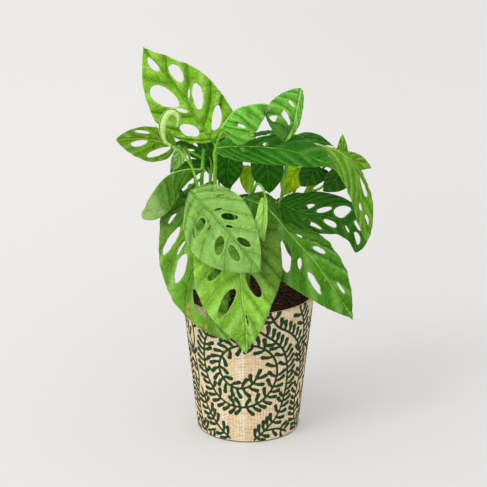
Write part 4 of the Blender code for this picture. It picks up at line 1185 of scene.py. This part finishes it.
def make_fibres(finish, rng):
    """Short bowed fibres that lie on the soil, with both ends in it."""
    fibres = []
    for number in range(FIBRES):
        spin, far, x, y = scattered(rng, 0.93)
        way, reach, bow = rng.uniform(0, math.tau), rng.uniform(3, 8), rng.uniform(-1.6, 1.6)
        path = []
        for k in np.linspace(-1, 1, 7):
            px = x + k * reach * math.cos(way) - bow * k * k * math.sin(way)
            py = y + k * reach * math.sin(way) + bow * k * k * math.cos(way)
            share = min(1, (SOIL_RADIUS - 1.5) / math.hypot(px, py))
            px, py = px * share, py * share
            path.append((px, py, SOIL_TOP + soil_height(px, py) + 1.1 - 1.2 * k * k))
        fibres.append(stalk(f"fibre_{number}", path, np.full(7, rng.uniform(0.2, 0.5)), 6))
        fibres[-1].data.materials.append(finish)
    kept(joined(*fibres), "soil_fibres", SLOTS["soil"])


# The rolled leaf: its mesh, the angle where the roll starts, its turns, its twist from foot to tip, how
# much tighter its core is wound, and its thickness in millimetres
ROLL_ROWS = 90
ROLL_COLUMNS = 70
ROLL_START = 2.2
ROLL_TURNS = 1.55
ROLL_TWIST = 1.2
ROLL_SHRINK = 0.42
ROLL_WALL = 0.4


def make_rolled_leaf(skins):
    """The young leaf: a sheet wound one and a half times round its bent axis."""
    path = spline(ROLL_PATH, ROLL_ROWS + 1)
    along = unit(np.gradient(path, axis=0))
    side = unit(np.cross(along, (0.0, -1.0, 0.15)))
    out = np.cross(side, along)
    shares = np.linspace(0, 1, ROLL_ROWS + 1)
    radii = np.interp(shares, np.linspace(0, 1, len(ROLL_RADII)), ROLL_RADII)
    bpy.ops.mesh.primitive_grid_add(x_subdivisions=ROLL_COLUMNS, y_subdivisions=ROLL_ROWS, size=2)
    roll = bpy.context.active_object
    grid = points_of(roll)
    share = (grid[:, 0] + 1) / 2
    row = np.rint((grid[:, 1] + 1) / 2 * ROLL_ROWS).astype(int)
    angle = ROLL_START + math.tau * ROLL_TURNS * share + ROLL_TWIST * shares[row]
    size = radii[row] * (1 - ROLL_SHRINK * share) - 0.3
    size = np.maximum(size, 0.25 + 0.3 * (1 - share))
    place = path[row] + side[row] * (size * np.cos(angle))[:, None]
    set_points(roll, (place + out[row] * (size * np.sin(angle))[:, None]) * MM)
    set_uv(roll.data, "veins", np.stack([0.45 + 0 * share, 1 + share], 1))
    set_uv(roll.data, "blade", np.stack([shares[row], np.abs(2 * share - 1)], 1))
    for skin in skins:
        roll.data.materials.append(skin)
    shaped(roll, "SOLIDIFY", thickness=ROLL_WALL * MM, offset=0.0, material_offset=1,
           material_offset_rim=1)
    smooth(roll)
    kept(roll, "blade_rolled", SLOTS[ROLLED], ROLLED)


def finish_pot():
    """Gives the CAD's own nursery pot its matt black plastic."""
    pot = Finish("matt black plastic", Roughness=0.55, Base_Color=(0.012, 0.012, 0.012, 1))
    scuff = pot.noise(pot.place(), 90.0, 4.0)
    pot.feed("Roughness", 0.42 + 0.3 * scuff)
    pot.bumps(scuff, 0.0002, 0.4)
    NODES["nursery_pot"].data.materials.clear()
    NODES["nursery_pot"].data.materials.append(pot.made)


# The photograph's view and light, in metres and radians
VIEW_TARGET = (-0.0046, 0.0, 0.189)
VIEW_DISTANCE = 2.254
VIEW_DOWN = math.radians(19)
VIEW_WIDTH = math.radians(12)
ROOM_LIGHT = 0.8
SUN_ENERGY = 1.1
SUN_TURN = (math.radians(40), math.radians(-30), 0)
SUN_SPREAD = math.radians(95)
BOX_PLACE = (-2.4, -2.4, 3.2)
BOX_SIZE = 1.6
BOX_ENERGY = 54
# The paper's glow, painted light that lifts the shadows on it, and its colours' share beside that glow
PAPER_GLOW = 0.22
PAPER_SHARE = 0.72


def make_floor():
    """Pale paper with a faint glow that is painted light, and painted shade that makes it slightly darker
    to the right and towards the viewer.
    """
    bpy.ops.mesh.primitive_plane_add(size=60)
    floor = bpy.context.active_object
    floor.name = "floor"
    paper = Finish("pale paper", Roughness=0.9, Specular_IOR_Level=0.1,
                   Emission_Color=(1, 0.985, 0.97, 1), Emission_Strength=PAPER_GLOW)
    right, far, _ = paper.parts(paper.place())
    # Painted shade: the paper darkens to the right and towards the viewer
    painted_falloff_shade = 0.45 * right.step(-0.25, 0.25) + 0.55 * (1 - far.step(-0.2, 1.2))
    paper.feed("Base Color", paper.mix(painted_falloff_shade, scaled(colour("#E1E0DD"), PAPER_SHARE),
                                       scaled(colour("#D7D5D4"), PAPER_SHARE)))
    floor.data.materials.append(paper.made)


def light_studio():
    """White room light, with a wide soft sun and a light box, both from the front left."""
    world = bpy.data.worlds.new("studio")
    bpy.context.scene.world = world
    world.use_nodes = True
    world.node_tree.nodes["Background"].inputs["Color"].default_value = (1.0, 1.0, 1.0, 1)
    world.node_tree.nodes["Background"].inputs["Strength"].default_value = ROOM_LIGHT
    bpy.ops.object.light_add(type="SUN", rotation=SUN_TURN)
    sun = bpy.context.active_object.data
    sun.energy = SUN_ENERGY
    sun.angle = SUN_SPREAD
    towards = (Vector(VIEW_TARGET) - Vector(BOX_PLACE)).to_track_quat("-Z", "Y").to_euler()
    bpy.ops.object.light_add(type="AREA", location=BOX_PLACE, rotation=towards)
    box = bpy.context.active_object.data
    box.shape = "RECTANGLE"
    box.size, box.size_y = BOX_SIZE, BOX_SIZE
    box.energy = BOX_ENERGY


def set_camera():
    """Looks down at the plant from the front, as the photograph does."""
    down = Vector((0, -math.cos(VIEW_DOWN), math.sin(VIEW_DOWN)))
    bpy.ops.object.camera_add(location=Vector(VIEW_TARGET) + VIEW_DISTANCE * down,
                              rotation=(math.pi / 2 - VIEW_DOWN, 0, 0))
    camera = bpy.context.active_object
    camera.data.sensor_width = 36
    camera.data.angle = VIEW_WIDTH
    camera.data.clip_end = 100
    bpy.context.scene.camera = camera
    bpy.context.scene.view_settings.view_transform = "Standard"


make_floor()
light_studio()
set_camera()
stem_points = make_stems(stem_skin("living stem", colour("#A0D83C"), colour("#5CAA20")))
make_foliage(stem_points, stem_skin("pale midrib", colour("#A8D070"), colour("#84BC50")))
make_rolled_leaf((leaf_skin("rolled leaf, inside", colour("#8CC048"), colour("#B8DC80"), 0.45, 0.2, 0.2),
                  leaf_skin("rolled leaf", colour("#C0E67C"), colour("#E6FCC0"), 0.36, 0.2, 0.1)))
make_soil_bed(soil_finish("moist soil", 1.0))
scatter = np.random.default_rng(7)
make_crumbs(soil_finish("soil crumbs", 1.25), scatter)
make_fibres(soil_finish("soil fibres", 4.0), scatter)
make_basket(straw_finish())
finish_pot()
